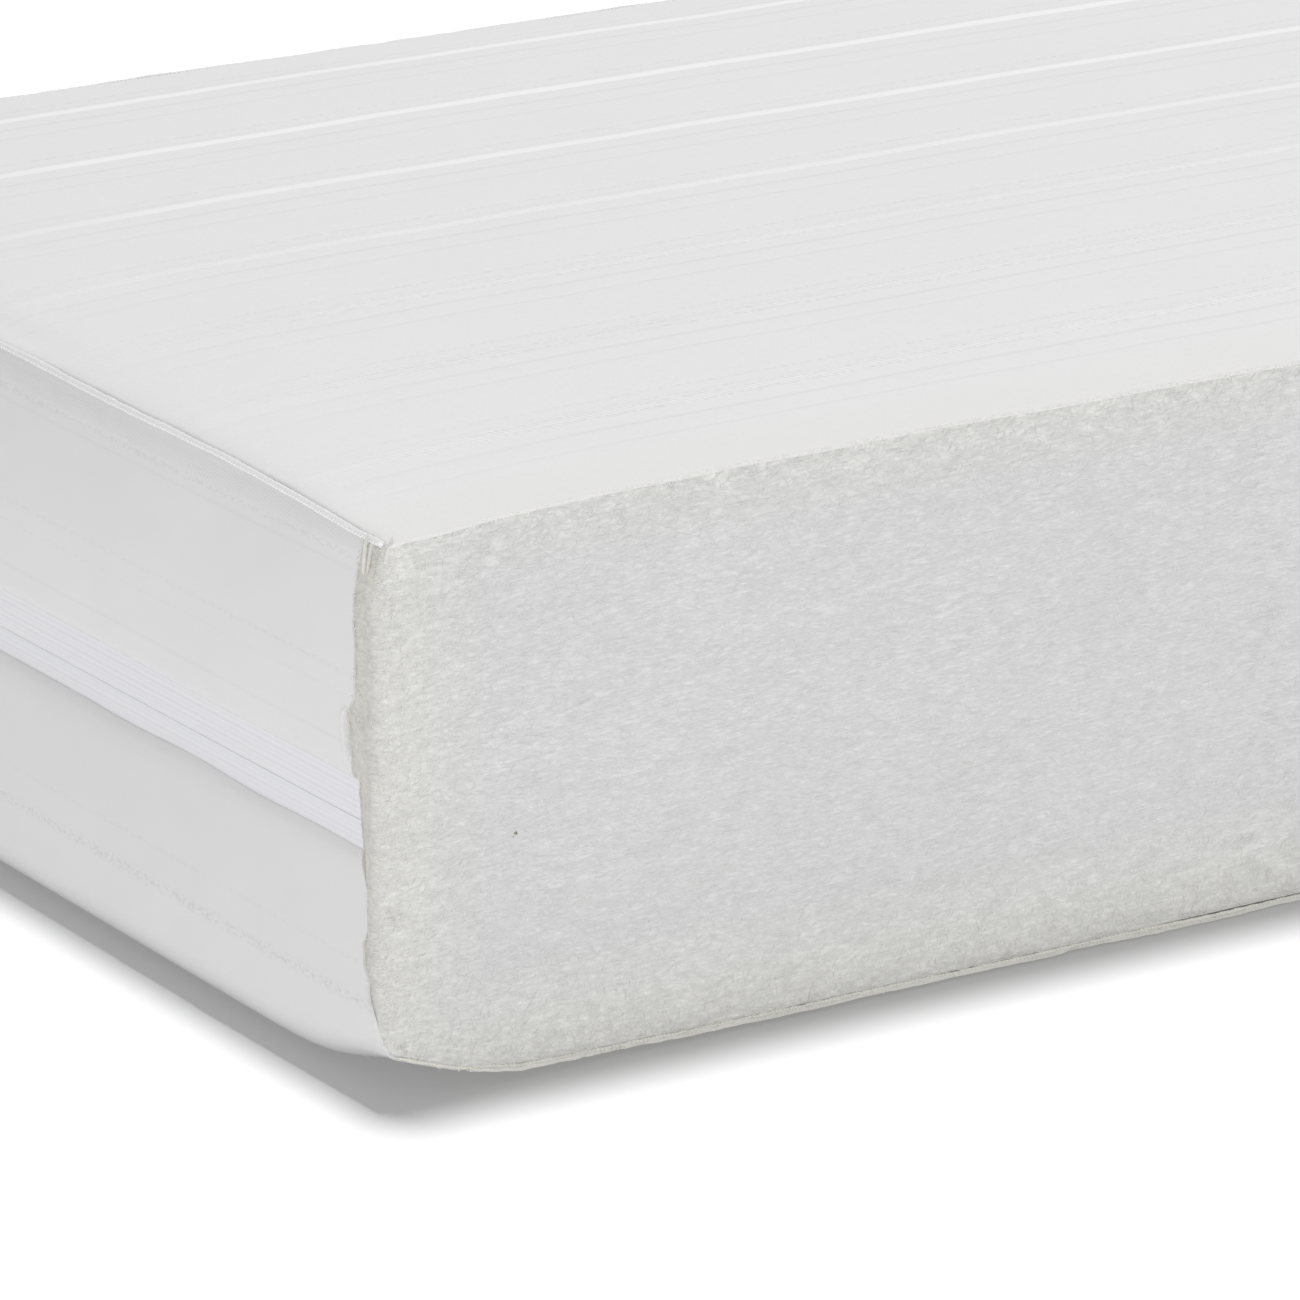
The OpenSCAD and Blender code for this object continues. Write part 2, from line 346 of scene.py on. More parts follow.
class Field:
    """A number that a material works out at every place. Arithmetic on it adds math nodes."""

    def __init__(self, surface, socket):
        self.surface = surface
        self.socket = socket

    def __add__(self, other):
        return self.surface.math("ADD", self, other)

    def __sub__(self, other):
        return self.surface.math("SUBTRACT", self, other)

    def __rsub__(self, other):
        return self.surface.math("SUBTRACT", other, self)

    def __mul__(self, other):
        return self.surface.math("MULTIPLY", self, other)

    def __truediv__(self, other):
        return self.surface.math("DIVIDE", self, other)

    def __mod__(self, other):
        return self.surface.math("FLOORED_MODULO", self, other)

    def __abs__(self):
        return self.surface.math("ABSOLUTE", self)

    __radd__ = __add__

    def smaller(self, other):
        return self.surface.math("MINIMUM", self, other)

    def larger(self, other):
        return self.surface.math("MAXIMUM", self, other)

    def clamped(self):
        """The same number, kept from 0 to 1."""
        self.socket.node.use_clamp = True
        return self

    def ramp(self, start, reach):
        """0 up to start, then rising to 1 over reach millimetres."""
        return ((self - start) / reach).clamped()

    def wave(self, pitch):
        """0 to 1 and back, once every pitch millimetres."""
        return self.surface.math("SINE", self * (2 * math.pi / pitch)) * 0.5 + 0.5

    def near(self, centre, width, soft=None):
        """1 within width of centre, fading to 0 over soft. Without soft, it fades over width."""
        away = abs(self - centre)
        if soft is None:
            return (1.0 - away / width).clamped()
        return ((width + soft - away) / soft).clamped()


class Surface:
    """A material being built, with its shader and the object's coordinates in millimetres."""

    def __init__(self, name, roughness, sheen=0.0, **settings):
        self.material = bpy.data.materials.new(name)
        self.material.use_nodes = True
        self.nodes = self.material.node_tree.nodes
        self.links = self.material.node_tree.links
        self.shader = self.nodes["Principled BSDF"]
        usual = {"Roughness": roughness, "Sheen_Weight": sheen, "Sheen_Roughness": 0.5,
                 "Specular_IOR_Level": 0.3}
        for socket, value in {**usual, **settings}.items():
            self.shader.inputs[socket.replace("_", " ")].default_value = value
        self.place = self.nodes.new("ShaderNodeTexCoord").outputs["Object"]
        split = self.nodes.new("ShaderNodeSeparateXYZ")
        self.links.new(self.place, split.inputs[0])
        self.x, self.y, self.z = (Field(self, axis) * (1 / MM) for axis in split.outputs)

    def put(self, value, socket):
        if isinstance(value, Field):
            self.links.new(value.socket, socket)
        else:
            socket.default_value = value

    def math(self, operation, first, second=0.0):
        node = self.nodes.new("ShaderNodeMath")
        node.operation = operation
        self.put(first, node.inputs[0])
        self.put(second, node.inputs[1])
        return Field(self, node.outputs[0])

    def noise(self, grain, detail=3.0, roughness=0.55, distortion=0.0):
        """Noise from 0 to 1 with features about grain millimetres long, or so much on each axis."""
        scale = self.nodes.new("ShaderNodeVectorMath")
        scale.operation = "MULTIPLY"
        self.links.new(self.place, scale.inputs[0])
        scale.inputs[1].default_value = 1 / MM / np.broadcast_to(grain, 3)
        node = self.nodes.new("ShaderNodeTexNoise")
        node.inputs["Scale"].default_value = 1.0
        node.inputs["Detail"].default_value = detail
        node.inputs["Roughness"].default_value = roughness
        node.inputs["Distortion"].default_value = distortion
        self.links.new(scale.outputs[0], node.inputs["Vector"])
        return Field(self, node.outputs["Fac"])

    def mix(self, factor, first, second):
        """From the first colour to the second one as factor goes from 0 to 1."""
        node = self.nodes.new("ShaderNodeMix")
        node.data_type = "RGBA"
        node.clamp_factor = True
        self.put(factor, node.inputs[0])
        for value, socket in ((first, node.inputs[6]), (second, node.inputs[7])):
            self.put(value if isinstance(value, Field) else (*value, 1.0), socket)
        return Field(self, node.outputs[2])

    def scaled(self, colour, factor):
        node = self.nodes.new("ShaderNodeVectorMath")
        node.operation = "SCALE"
        self.put(colour, node.inputs[0])
        self.put(factor, node.inputs["Scale"])
        return Field(self, node.outputs[0])

    def colour(self, colour):
        self.put(colour, self.shader.inputs["Base Color"])

    def roughness(self, value):
        self.put(value, self.shader.inputs["Roughness"])

    def bump(self, height, depth):
        """Relief that is depth millimetres from height 0 to 1."""
        node = self.nodes.new("ShaderNodeBump")
        node.inputs["Strength"].default_value = 1.0
        node.inputs["Distance"].default_value = depth * MM
        self.put(height, node.inputs["Height"])
        self.links.new(node.outputs[0], self.shader.inputs["Normal"])


def grey(level):
    """A colour without tint."""
    return (level, level, level)


def speckled(cloth, value, rows):
    """Broken rows of tiny specks: rows are (centre, half width, strength) in millimetres."""
    specks = ((cloth.noise((1.5, 1.5, 0.9), 1.0) - 0.46) * 7.0).clamped()
    return sum(value.near(centre, width) * strength for centre, width, strength in rows) * specks


def ticking():
    """Smooth woven ticking with stripes: two dark lines, a satin rope and a dotted line."""
    cloth = Surface("striped_ticking", 0.6, sheen=0.12)
    across = (cloth.y - STRIPE_START) % STRIPE_PITCH
    shown = cloth.x.ramp(8.0 - HALF_X, 90.0) * 0.75 + 0.25
    far = cloth.y.ramp(FRONT_Y + 120.0, 170.0)
    lines = across.near(LINE_NEAR, 0.8) * 0.16 + across.near(LINE_MAIN, 1.2) * 0.20
    lines += speckled(cloth, across, [(DOTTED, 1.0, 0.24), (SATIN + 4.2, 1.2, 0.16)])
    lines *= shown
    band = across.near(SATIN, 2.0, 1.4)
    broken = cloth.noise(4, 2.0)
    rope = ((across * 0.45 + cloth.x).wave(1.8) - 0.5) * (broken * 1.6 - 0.2) * band * shown
    rope *= far * -0.7 + 1.0
    knots = speckled(cloth, across, [(SATIN - 1.8, 1.3, 0.30), (SATIN + 1.6, 1.3, 0.26)])
    knots *= (1.0 - far) * shown
    # Painted sheen: the satin band is painted lighter towards the back and towards the right,
    # standing in for the light it catches there.
    painted_sheen = far + ((cloth.x + HALF_X) / 1100.0).smaller(0.6) + 0.03
    painted_sheen *= across.near(SATIN, 1.6, 0.9) * shown
    grain = cloth.noise(0.5, 2.0)
    weave = cloth.noise((2.2, 1.2, 1.2), 3.0)
    cloud = cloth.noise((38, 30, 34), 3.0)
    by_cut = cloth.y.near(FRONT_Y, 6.0, 16.0)
    hatch = (cloth.y * 0.3 + cloth.x).wave(1.35) * by_cut
    shade = (lines + knots + rope * -0.40 + painted_sheen * -0.42 + grain * 0.12 + weave * 0.16
             + cloud * 0.10 + hatch * 0.09 + 0.30)
    body = cloth.mix(shade, grey(0.94), grey(0.66))
    cloth.colour(cloth.mix(by_cut * 0.35, body, (0.80, 0.79, 0.755)))
    cloth.roughness(band * -0.22 + grain * 0.12 + 0.60)
    cloth.bump(lines * -1.8 + rope + grain * 0.35 + weave * 0.3, 0.17)
    return cloth.material


def border_ticking():
    """The same ticking round the side, painted darker: a fine twill band, a few broken rows and two
    lines.
    """
    cloth = Surface("border_ticking", 0.62, sheen=0.1)
    along = cloth.x + cloth.y
    band = cloth.z.near(134.6, 1.7, 1.2)
    weft = (cloth.z * 6.0 + along * 0.2).wave(3.4)
    twill = (cloth.z * 0.9 + along).wave(1.3) * (weft * 0.8 + 0.2)
    broken = cloth.noise((5, 5, 3), 2.0)
    from_cut = cloth.y.ramp(FRONT_Y, 55.0)
    twill = (twill - 0.35) * (broken * 1.6 - 0.3) * (from_cut * 0.75 + 0.25) * band
    rows = speckled(cloth, cloth.z, [(130.8, 1.2, 0.26), (103.0, 1.0, 0.16), (97.3, 0.7, 0.10),
                                     (34.0, 0.9, 0.12), (25.0, 2.0, 0.34)])
    line = (cloth.z.near(85.0, 0.9) + cloth.z.near(127.8, 0.7)) * 0.10
    grain = cloth.noise(0.5, 2.0)
    cloud = cloth.noise((38, 30, 34), 3.0)
    shade = (twill * -0.55 + rows + line + band * 0.08 + grain * 0.10 + cloud * 0.14 + 0.32)
    # Painted shade: these colours are a little darker than the top ticking's, standing in for the
    # shade on the sides.
    cloth.colour(cloth.mix(shade, (0.865, 0.862, 0.868), (0.60, 0.597, 0.604)))
    cloth.bump(twill - rows - line * 2.0 + grain * 0.3, 0.09)
    return cloth.material


def base_cloth():
    """Plain cream cloth with a square weave."""
    cloth = Surface("base_cloth", 0.75, sheen=0.1)
    cell = cloth.x.wave(1.1) * cloth.y.wave(1.1)
    grain = cloth.noise(0.8, 2.0)
    cloth.colour(cloth.mix(cell * 0.35 + grain * 0.4, (0.82, 0.81, 0.76), (0.68, 0.67, 0.61)))
    cloth.bump(cell + grain, 0.15)
    return cloth.material


def wadding():
    """White polyester wadding: wispy lengthwise fibres, creamier and curlier near the edges, with
    painted light along its foot and painted shade behind its front face.
    """
    felt = Surface("wadding", 0.9, sheen=0.25)
    wisps = felt.noise((3.4, 1.6, 0.75), 4.0, 0.6, 0.4)
    curls = felt.noise((1.5, 1.2, 1.1), 4.0, 0.6, 0.6)
    patches = felt.noise((9.0, 5.0, 3.4), 3.0, 0.6)
    cloud = felt.noise((42, 30, 24), 3.0)
    low = (1.0 - felt.z / 28.0).clamped()
    high = felt.z.ramp(TOP_Z - 16.0, 16.0)
    edge = low.larger(high).larger(abs(felt.x).ramp(HALF_X - 30.0, 24.0))
    body = felt.mix(cloud, (0.635, 0.637, 0.636), (0.70, 0.702, 0.70))
    body = felt.mix(edge * 0.7, body, (0.70, 0.695, 0.66))
    # Towards the foot the wadding is creamier and lighter: partly its own cream tint, partly painted
    # light making up for the shade low on the face.
    body = felt.mix(low * 0.8, body, (0.765, 0.761, 0.728))
    # Painted shade: wadding more than a few millimetres behind the front face, where it runs back
    # under the cover's cut end, is painted a darker taupe.
    painted_recess_shade = felt.y.ramp(FRONT_Y + 1.2, 2.6)
    body = felt.mix(painted_recess_shade, body, (0.60, 0.585, 0.545))
    tone = ((wisps - 0.5) * 0.50 + (patches - 0.5) * (edge * 0.22 + 0.20)
            + (curls - 0.5) * (edge * 0.25 + 0.25))
    right = felt.x.ramp(-260.0, 300.0)
    felt.colour(felt.scaled(body, tone * (right * -0.3 + 1.0) + 1.0))
    felt.bump(felt.mix(edge, wisps, curls), 0.12)
    return felt.material


def fibre():
    """Loose fibres of the wadding, creamier near its foot and its ends."""
    thread = Surface("wadding_fibre", 0.75, sheen=0.15)
    edge = (1.0 - thread.z / 26.0).clamped().larger(abs(thread.x).ramp(HALF_X - 28.0, 20.0))
    tone = thread.noise(6, 2.0)
    pale = thread.mix(tone, (0.645, 0.645, 0.643), (0.73, 0.73, 0.727))
    thread.colour(thread.mix(edge * 0.85, pale, (0.755, 0.748, 0.71)))
    return thread.material


def mottled(name, roughness, sheen, noise, pale, dark, depth=0.0):
    """A plain material that wanders between two colours, with relief where depth is given."""
    surface = Surface(name, roughness, sheen=sheen)
    tone = surface.noise(*noise)
    surface.colour(surface.mix(tone, pale, dark))
    if depth:
        surface.bump(tone, depth)
    return surface.material


def seam_thread():
    """The rolled seam: plies wound at a slant."""
    thread = Surface("seam_thread", 0.5)
    ply = (thread.x + thread.y + thread.z).wave(1.3)
    thread.colour(thread.mix(ply, grey(0.90), (0.84, 0.84, 0.845)))
    thread.bump(ply, 0.12)
    return thread.material


def zip_tape():
    """Woven zip tape with ribs along it."""
    tape = Surface("zip_tape", 0.5, sheen=0.1)
    ribs = tape.z.wave(1.35)
    weft = (tape.x + tape.y).wave(0.9)
    shade = ribs * 0.5 + weft * 0.15 + tape.noise((30, 30, 6), 2.0) * 0.3
    tape.colour(tape.mix(shade, (0.81, 0.81, 0.84), (0.755, 0.755, 0.79)))
    tape.bump(1.0 - ribs, 0.06)
    return tape.material


def zip_metal():
    """Pale painted metal of the slider and its pull."""
    metal = Surface("zip_metal", 0.32, Metallic=0.0, Coat_Weight=0.5, Coat_Roughness=0.15)
    fleck = metal.noise(0.6, 3.0)
    worn = metal.noise(5, 3.0)
    metal.colour(metal.mix(worn, (0.78, 0.78, 0.80), (0.68, 0.68, 0.70)))
    metal.roughness(fleck * 0.18 + 0.26)
    metal.bump(fleck, 0.03)
    return metal.material


def foam(name, light, dark):
    """Open-celled foam."""
    cells = Surface(name, 0.85, sheen=0.1)
    pores = cells.nodes.new("ShaderNodeTexVoronoi")
    pores.inputs["Scale"].default_value = 1 / MM / 1.1
    cells.links.new(cells.place, pores.inputs["Vector"])
    wall = Field(cells, pores.outputs["Distance"])
    tone = cells.noise(40, 3.0)
    cells.colour(cells.mix(wall * 0.7 + tone * 0.3, light, dark))
    cells.bump(wall, 0.4)
    return cells.material


TICKING = ticking()
BORDER = border_ticking()
BASE = base_cloth()
WADDING = wadding()
FIBRE = fibre()
CUT_THREAD = mottled("cut_thread", 0.6, 0.1, (3, 2.0),
                     (0.84, 0.83, 0.79), (0.92, 0.915, 0.89))
TUCK = mottled("tucked_cloth", 0.8, 0.15, ((1.2, 1.2, 0.8), 3.0),
               (0.64, 0.63, 0.59), (0.77, 0.765, 0.73), 0.05)
SPECK = mottled("plant_fleck", 0.8, 0.0, (0.3, 2.0),
                (0.20, 0.185, 0.12), (0.36, 0.33, 0.24))
SEAM = seam_thread()
TAPE = zip_tape()
COIL = mottled("zip_coil", 0.35, 0.0, (3, 2.0), (0.80, 0.80, 0.85), (0.74, 0.74, 0.80))
METAL = zip_metal()
MEMORY = foam("memory_foam", (0.86, 0.83, 0.70), (0.72, 0.69, 0.55))
SUPPORT = foam("support_foam", (0.80, 0.80, 0.78), (0.66, 0.66, 0.64))


# ---------------------------------------------------------------- how the cover lies

CROWN = 5.5


def seam_drop(s):
    """How far the top seam sinks towards the two cut corners."""
    return 3.0 * bell(s, 42.0) + 2.0 * bell(RAIL_LENGTH - s, 42.0)


def seam_pull(s):
    """How far the top seam is drawn in where the border is tight."""
    return 1.6 * bell(s - 180.0, 45.0) + 0.5 * value_noise(s / 70.0, 0.3, 31)


def stripe_relief(y):
    """Grooves of the woven lines and the raised satin band."""
    across = np.mod(y - STRIPE_START, STRIPE_PITCH)
    grooves = 0.10 * bell(across - LINE_NEAR, 0.7) + 0.13 * bell(across - LINE_MAIN, 1.0)
    grooves = grooves + 0.06 * bell(across - DOTTED, 0.7)
    return 0.14 * bell(across - SATIN, 3.4) - grooves


def top_surface(x, y):
    """Height of the top panel's outer face."""
    side = np.maximum(PANEL_HIGH[0] - np.abs(x), 0.0)
    front = np.maximum(y - PANEL_LOW[1], 0.0)
    back = np.maximum(PANEL_HIGH[1] - y, 0.0)
    rise_x = 1 - 0.5 * fade(side, 15.0) - 0.5 * fade(side, 110.0)
    rise_y = (1 - fade(front, 45.0)) * (1 - fade(back, 25.0))
    corner = 3.6 * fade(x + 436.0, 32.0, 1.2) + 2.4 * fade(436.0 - x, 30.0, 1.2)
    corner = corner * fade(front, 38.0, 1.5)
    roll = 0.9 * fade(side, 2.5) + 0.9 * fade(back, 2.5)
    settle = np.minimum(np.minimum(side, back) / 12.0, 1.0)
    far_left = 1 / (1 + np.exp(-(y - FRONT_Y - 165.0) / 18.0)) * (x < 0)
    valley = 1.5 * bell(side - 6.0, 5.5) * far_left
    gathers = 0.16 * value_noise(y / 1.9, side / 30.0, 19) * bell(side - 7.0, 9.0) * (x < 0)
    corner = corner + valley - gathers * (0.25 + far_left)
    soft = 0.55 * fbm(x / 62.0, y / 62.0, 3) + 0.10 * fbm(x / 15.0, y / 15.0, 9)
    lip = 0.35 * value_noise(x / 23.0, 0.5, 14) * fade(front, 9.0)
    pucker = 0.28 * value_noise((x + y) / 7.5, 0.2, 17) * fade(np.minimum(side, back), 7.0)
    return (TOP_Z + CROWN * rise_x * rise_y - corner - roll + soft * settle + lip + pucker
            + stripe_relief(y) * settle)


def panel_rows():
    """Places across the top panel, close together on the woven lines."""
    places = [PANEL_LOW[1], PANEL_LOW[1] + 0.4, PANEL_LOW[1] + 1.2]
    start = STRIPE_START - STRIPE_PITCH
    while start < PANEL_HIGH[1]:
        for centre, width in ((LINE_NEAR, 1.2), (LINE_MAIN, 1.6), (DOTTED, 1.2)):
            places += list(start + centre + np.linspace(-width, width, 5))
        places += list(start + SATIN + np.linspace(-5.0, 5.0, 7))
        places += list(start + np.linspace(38.0, STRIPE_PITCH, 5))
        places += [start + 1.5, start + 10.0, start + 12.0]
        start += STRIPE_PITCH
    stop = PANEL_HIGH[1] - PANEL_INSET
    places += list(stop - np.array([0.1, 0.9, 2.1, 3.8, 6.3, 9.3, 13.3]))
    places = np.unique(np.round(places, 2))
    keep = (places >= PANEL_LOW[1]) & (places < stop)
    return np.append(places[keep], stop)


def make_top():
    """The top panel: a crowned sheet of striped ticking, cut off along the front."""
    y = panel_rows()
    u = spaced(-1.0, 1.0, 0.0024, 0.0135, 0.09)
    radius = PLAN_RADIUS - 4.0
    fallen = rounded_off(y - (PANEL_HIGH[1] - radius), radius)
    half = (PANEL_HIGH[0] - PANEL_INSET - fallen)[:, None]
    grid_x = half * u
    grid_y = y[:, None] + 0 * grid_x
    grid_y = grid_y + 0.35 * value_noise(grid_x / 5.0, 0.7, 21) * bell(grid_y - FRONT_Y, 3.0)
    pulled = seam_pull(grid_y - FRONT_Y) * (grid_x < 0)
    shift = pulled * fade(half - np.abs(grid_x), 20.0)
    edge = np.minimum(half - np.abs(grid_x), PANEL_HIGH[1] - grid_y)
    height = top_surface(grid_x, grid_y) - 0.6 * fade(edge, 3.0)
    thin = CLOTH * np.sqrt(np.clip(edge / 1.2, 0.12, 1))
    outer = points_at(grid_x + shift, grid_y, height)
    inner = points_at(grid_x + shift, grid_y, height - thin)
    points, faces = closed_sheet(outer, inner)
    piece = mesh_piece("ticking_top", points, faces[:, ::-1], TICKING, "ticking", ["top_panel"])


# The cut end of the cover is uneven: how far it stands back from the front at each height.
UPPER_CUT = ((70, 15.5), (76.6, 14.8), (81.3, 13.5), (87, 12.8), (93.6, 12.2), (97, 9.8),
             (99.7, 8.4), (103.4, 7.9), (107, 7.8), (112, 8.2), (121, 9.1), (131.5, 8.4),
             (135.6, 7.6), (138.6, 4.5))
LOWER_CUT = ((0, 1.6), (5, 1.0), (8, 0.5), (21.5, 0.4), (24, 1.8), (26, 3.1), (30, 3.4),
             (34, 5.6), (38, 6.5), (41, 4.8), (46, 4.5), (50, 5.5), (54, 8.8), (59, 12.0))


def cut_back(z, table, far):
    """The set-back of the cover's cut end at height z. far picks the right end of the cover."""
    back = table_value(z, table)
    if far:
        back = 0.6 * back + 3.0 + 1.5 * value_noise(z / 9.0, 0.1, 44)
    return back + 0.35 * value_noise(z / 2.0, 0.4 + far, 45)


def border_rows():
    """Distances along the outline, closest together near the cut corner seen in front."""
    near, far = 190, RAIL_LENGTH - 60
    return joined((0, near, 150), (near, far, 340), (far, RAIL_LENGTH, 40))[:, None]


def stretch_ends(s, start, stop):
    """The outline's distances drawn in by start and stop at its two ends."""
    return s + start * fade(s, 60.0) - stop * fade(RAIL_LENGTH - s, 60.0)


def cloth_rows(z, table):
    """Distances along the outline for a strip of cloth between its two uneven cut ends."""
    return stretch_ends(border_rows(), cut_back(z, table, 0), cut_back(z, table, 1))


def border_swell(s, z, edge_low, edge_high):
    """Softness of a border: broad swells, and small puckers along both its long edges."""
    broad = 0.7 * fbm(s / 58.0, z / 36.0, 51) + 0.22 * fbm(s / 16.0, z / 13.0, 57)
    by_seam = fade(edge_high - z, 6.0)
    by_zip = fade(z - edge_low, 5.0)
    pucker = 0.30 * value_noise(s / 4.6, z / 22.0, 61) * by_seam
    pucker = pucker + 0.45 * value_noise(s / 10.0, z / 25.0, 67) * by_zip
    return broad + pucker


def end_curl(s, z, table):
    """The cut end turns outwards a little."""
    near = s - cut_back(z, table, 0)
    wave = 0.6 + 0.4 * value_noise(z / 7.0, 0.9, 71)
    return 0.16 * wave * fade(near, 1.8)


def calm(s, z, table):
    """The cloth lies flat on the wadding close to its cut ends."""
    start = s - cut_back(z, table, 0)
    stop = RAIL_LENGTH - cut_back(z, table, 1) - s
    return 1 - 0.9 * fade(np.minimum(start, stop), 13.0)


def upper_inset(z):
    """How far in the middle of the upper border's cloth is at height z."""
    share = np.clip((z - UPPER_EDGE) / (SEAM_Z - UPPER_EDGE), 0, 1)
    full = (2 * share - 1) ** 2
    return 0.6 + np.where(share > 0.5, 2.6, HEM_INSET - 0.6) * full


def lower_inset(z):
    """The same for the lower border, where it turns under the mattress."""
    part = np.maximum(z - TURN_RADIUS, 0) / (LOWER_EDGE - TURN_RADIUS)
    straight = 0.6 + (HEM_INSET - 0.6) * part**2
    return np.where(z > TURN_RADIUS, straight, 0.6 + rounded_off(TURN_RADIUS - z, TURN_RADIUS))


def border_piece(name, node, s, inset, heights, width):
    """One of the cover's two borders. width, the millimetres of cloth from edge to edge, is not
    used.
    """
    points, faces = strip_round(s, inset, heights, CLOTH, hem=2.4)
    piece = mesh_piece(name, points, faces[:, ::-1], BORDER, "border_ticking", [node])
    width * MM


def make_upper_border():
    """The strip above the zip: it bulges over the zip and meets the top seam."""
    part = joined((0, 0.08, 7), (0.08, 0.9, 30), (0.9, 1, 9))[None, :]
    z = SEAM_Z + (UPPER_EDGE - SEAM_Z) * part
    s = cloth_rows(z, UPPER_CUT)
    share = (z - UPPER_EDGE) / (SEAM_Z - UPPER_EDGE)
    heights = z - seam_drop(s) * share**2
    heights = heights + 0.5 * value_noise(s / 34.0, 0.2, 73) * (1 - share) ** 3
    swell = border_swell(s, z, UPPER_EDGE, SEAM_Z) + 0.35
    hold = np.clip(np.minimum(share * 6, (1 - share) * 10 + 0.25), 0, 1)
    ribs = 0.10 * bell(z - 135.2, 2.4) - 0.12 * bell(z - 131.0, 0.8)
    inset = upper_inset(z) + seam_pull(s) * fade(1 - share, 0.2)
    inset = inset - swell * hold * calm(s, z, UPPER_CUT) - end_curl(s, z, UPPER_CUT)
    inset = inset + UPPER_CURL * bell(z - UPPER_EDGE, 2.0) - ribs
    border_piece("border_upper", "upper_border", s, inset, heights, SEAM_Z - UPPER_EDGE)


# Near the front the lower border lifts off the floor and curls in round the raw corner.
LIFT_REACH = 24.0
FRONT_CURL = ((0, 0), (1, 0), (3, 0.4), (5, 1.3), (7, 1.9), (10, 1.9), (14, 1.2), (17, 0.7),
              (22, 0))


def front_lift(inset, z):
    """How far the lower border's cloth is raised at the very front."""
    upright = np.interp(z, (3, 5, 7, 10, 14, 17, 22), (8.2, 6.9, 5.9, 4.9, 4.0, 2.4, 0))
    turned = front_outline(HALF_X - inset) - z
    return np.where(inset > 6.0, turned, upright)


def make_lower_border():
    """The strip below the zip: it swells and then turns under the mattress."""
    radius = TURN_RADIUS
    down = joined((LOWER_EDGE, LOWER_EDGE - 3, 7), (LOWER_EDGE - 3, radius, 20))
    turn = np.linspace(0, math.pi / 2, 20)[1:]
    z = np.concatenate([down, radius - radius * np.sin(turn), [0.0, 0.0]])[None, :]
    inset = np.concatenate([lower_inset(down), radius + 0.6 - radius * np.cos(turn),
                            [LAP - 3.0, LAP]])
    s = cloth_rows(z, LOWER_CUT)
    ahead = from_cut(s)
    upright = np.clip((z - 6.0) / 10.0, 0, 1)
    swell = border_swell(s, z, 0.0, LOWER_EDGE) + 0.35
    hold = np.clip((LOWER_EDGE - z) / 7.0 + 0.2, 0, 1) * upright
    inset = inset - swell * hold * calm(s, z, LOWER_CUT) - end_curl(s, z, LOWER_CUT) * upright
    inset = inset + LOWER_CURL * bell(LOWER_EDGE - z, 2.0) - 0.10 * bell(z - 24.5, 2.4)
    heights = z + CLOTH / 2 + front_lift(inset, z) * bell(ahead, LIFT_REACH)
    heights = heights + 0.5 * value_noise(s / 30.0, 0.6, 79) * np.clip((z - 50) / 9, 0, 1)
    inset = inset + table_value(z, FRONT_CURL) * fade(ahead, 9.0)
    width = LOWER_EDGE - radius + radius * math.pi / 2 + LAP - radius
    border_piece("border_lower", "lower_border", s, inset, heights, width)


def front_outline(x):
    """Height of the base cloth's cut edge along the front: it lifts towards both corners."""
    inset = HALF_X - np.abs(x)
    return np.interp(inset, (4, 6, 13, 23, 40, 57, 90, 160, 240),
                     (13.5, 10.9, 8.3, 4.8, 1.9, 1.5, 0.9, 0.4, 0.0))


def base_lift(x, y):
    """The base panel rises a little off the floor towards the two cut corners."""
    return front_outline(x) * bell(y - FRONT_Y, LIFT_REACH)


def make_base():
    """The base panel, with a ragged cut edge along the front."""
    x = spaced(BASE_LOW[0], BASE_HIGH[0], 1.3, 3.2, 60.0)
    y = joined((FRONT_Y, FRONT_Y + 4, 6), (FRONT_Y + 4, BASE_HIGH[1], 60))
    grid_x, grid_y = np.meshgrid(x, y)
    ragged = 0.45 * value_noise(grid_x / 1.7, 0.3, 81) + 0.5 * value_noise(grid_x / 9.0, 0, 82)
    grid_y = grid_y + (ragged - 0.5) * bell(grid_y - FRONT_Y, 3.0)
    low = base_lift(grid_x, grid_y) + np.abs(0.12 * fbm(grid_x / 30.0, grid_y / 30.0, 83))
    thick = 0.8 + 0.2 * value_noise(grid_x / 2.3, 0.8, 84) * bell(grid_y - FRONT_Y, 3.0)
    outer = points_at(grid_x, grid_y, low)
    inner = points_at(grid_x, grid_y, low + thick)
    points, faces = closed_sheet(outer, inner)
    piece = mesh_piece("base_sheet", points, faces, BASE, "base_cloth", ["bottom_panel"])


def make_base_edge():
    """The raw cut edge of the base cloth, a ragged cream roll along the foot of the front."""
    x = np.concatenate([np.arange(-444.0, -330.0, 0.7), np.arange(-330.0, 330.0, 1.1),
                        np.arange(330.0, 444.3, 0.7)])[:, None]
    turn = np.arange(8) * 2 * math.pi / 8
    height = 0.62 + 0.16 * value_noise(x / 1.5, 0.1, 151) + 0.14 * value_noise(x / 11.0, 0, 152)
    depth = 0.55 + 0.2 * value_noise(x / 2.0, 0.6, 153)
    middle = FRONT_Y + 0.5 + 0.3 * value_noise(x / 14.0, 0.4, 154)
    ends = np.clip((444.5 - np.abs(x)) / 4.0, 0.15, 1)
    rings = points_at(x, middle + depth * ends * np.cos(turn),
                      front_outline(x) + 0.8 + height * ends * np.sin(turn))
    mesh_piece("base_edge", *closed_roll(rings), BASE, "base_cloth")


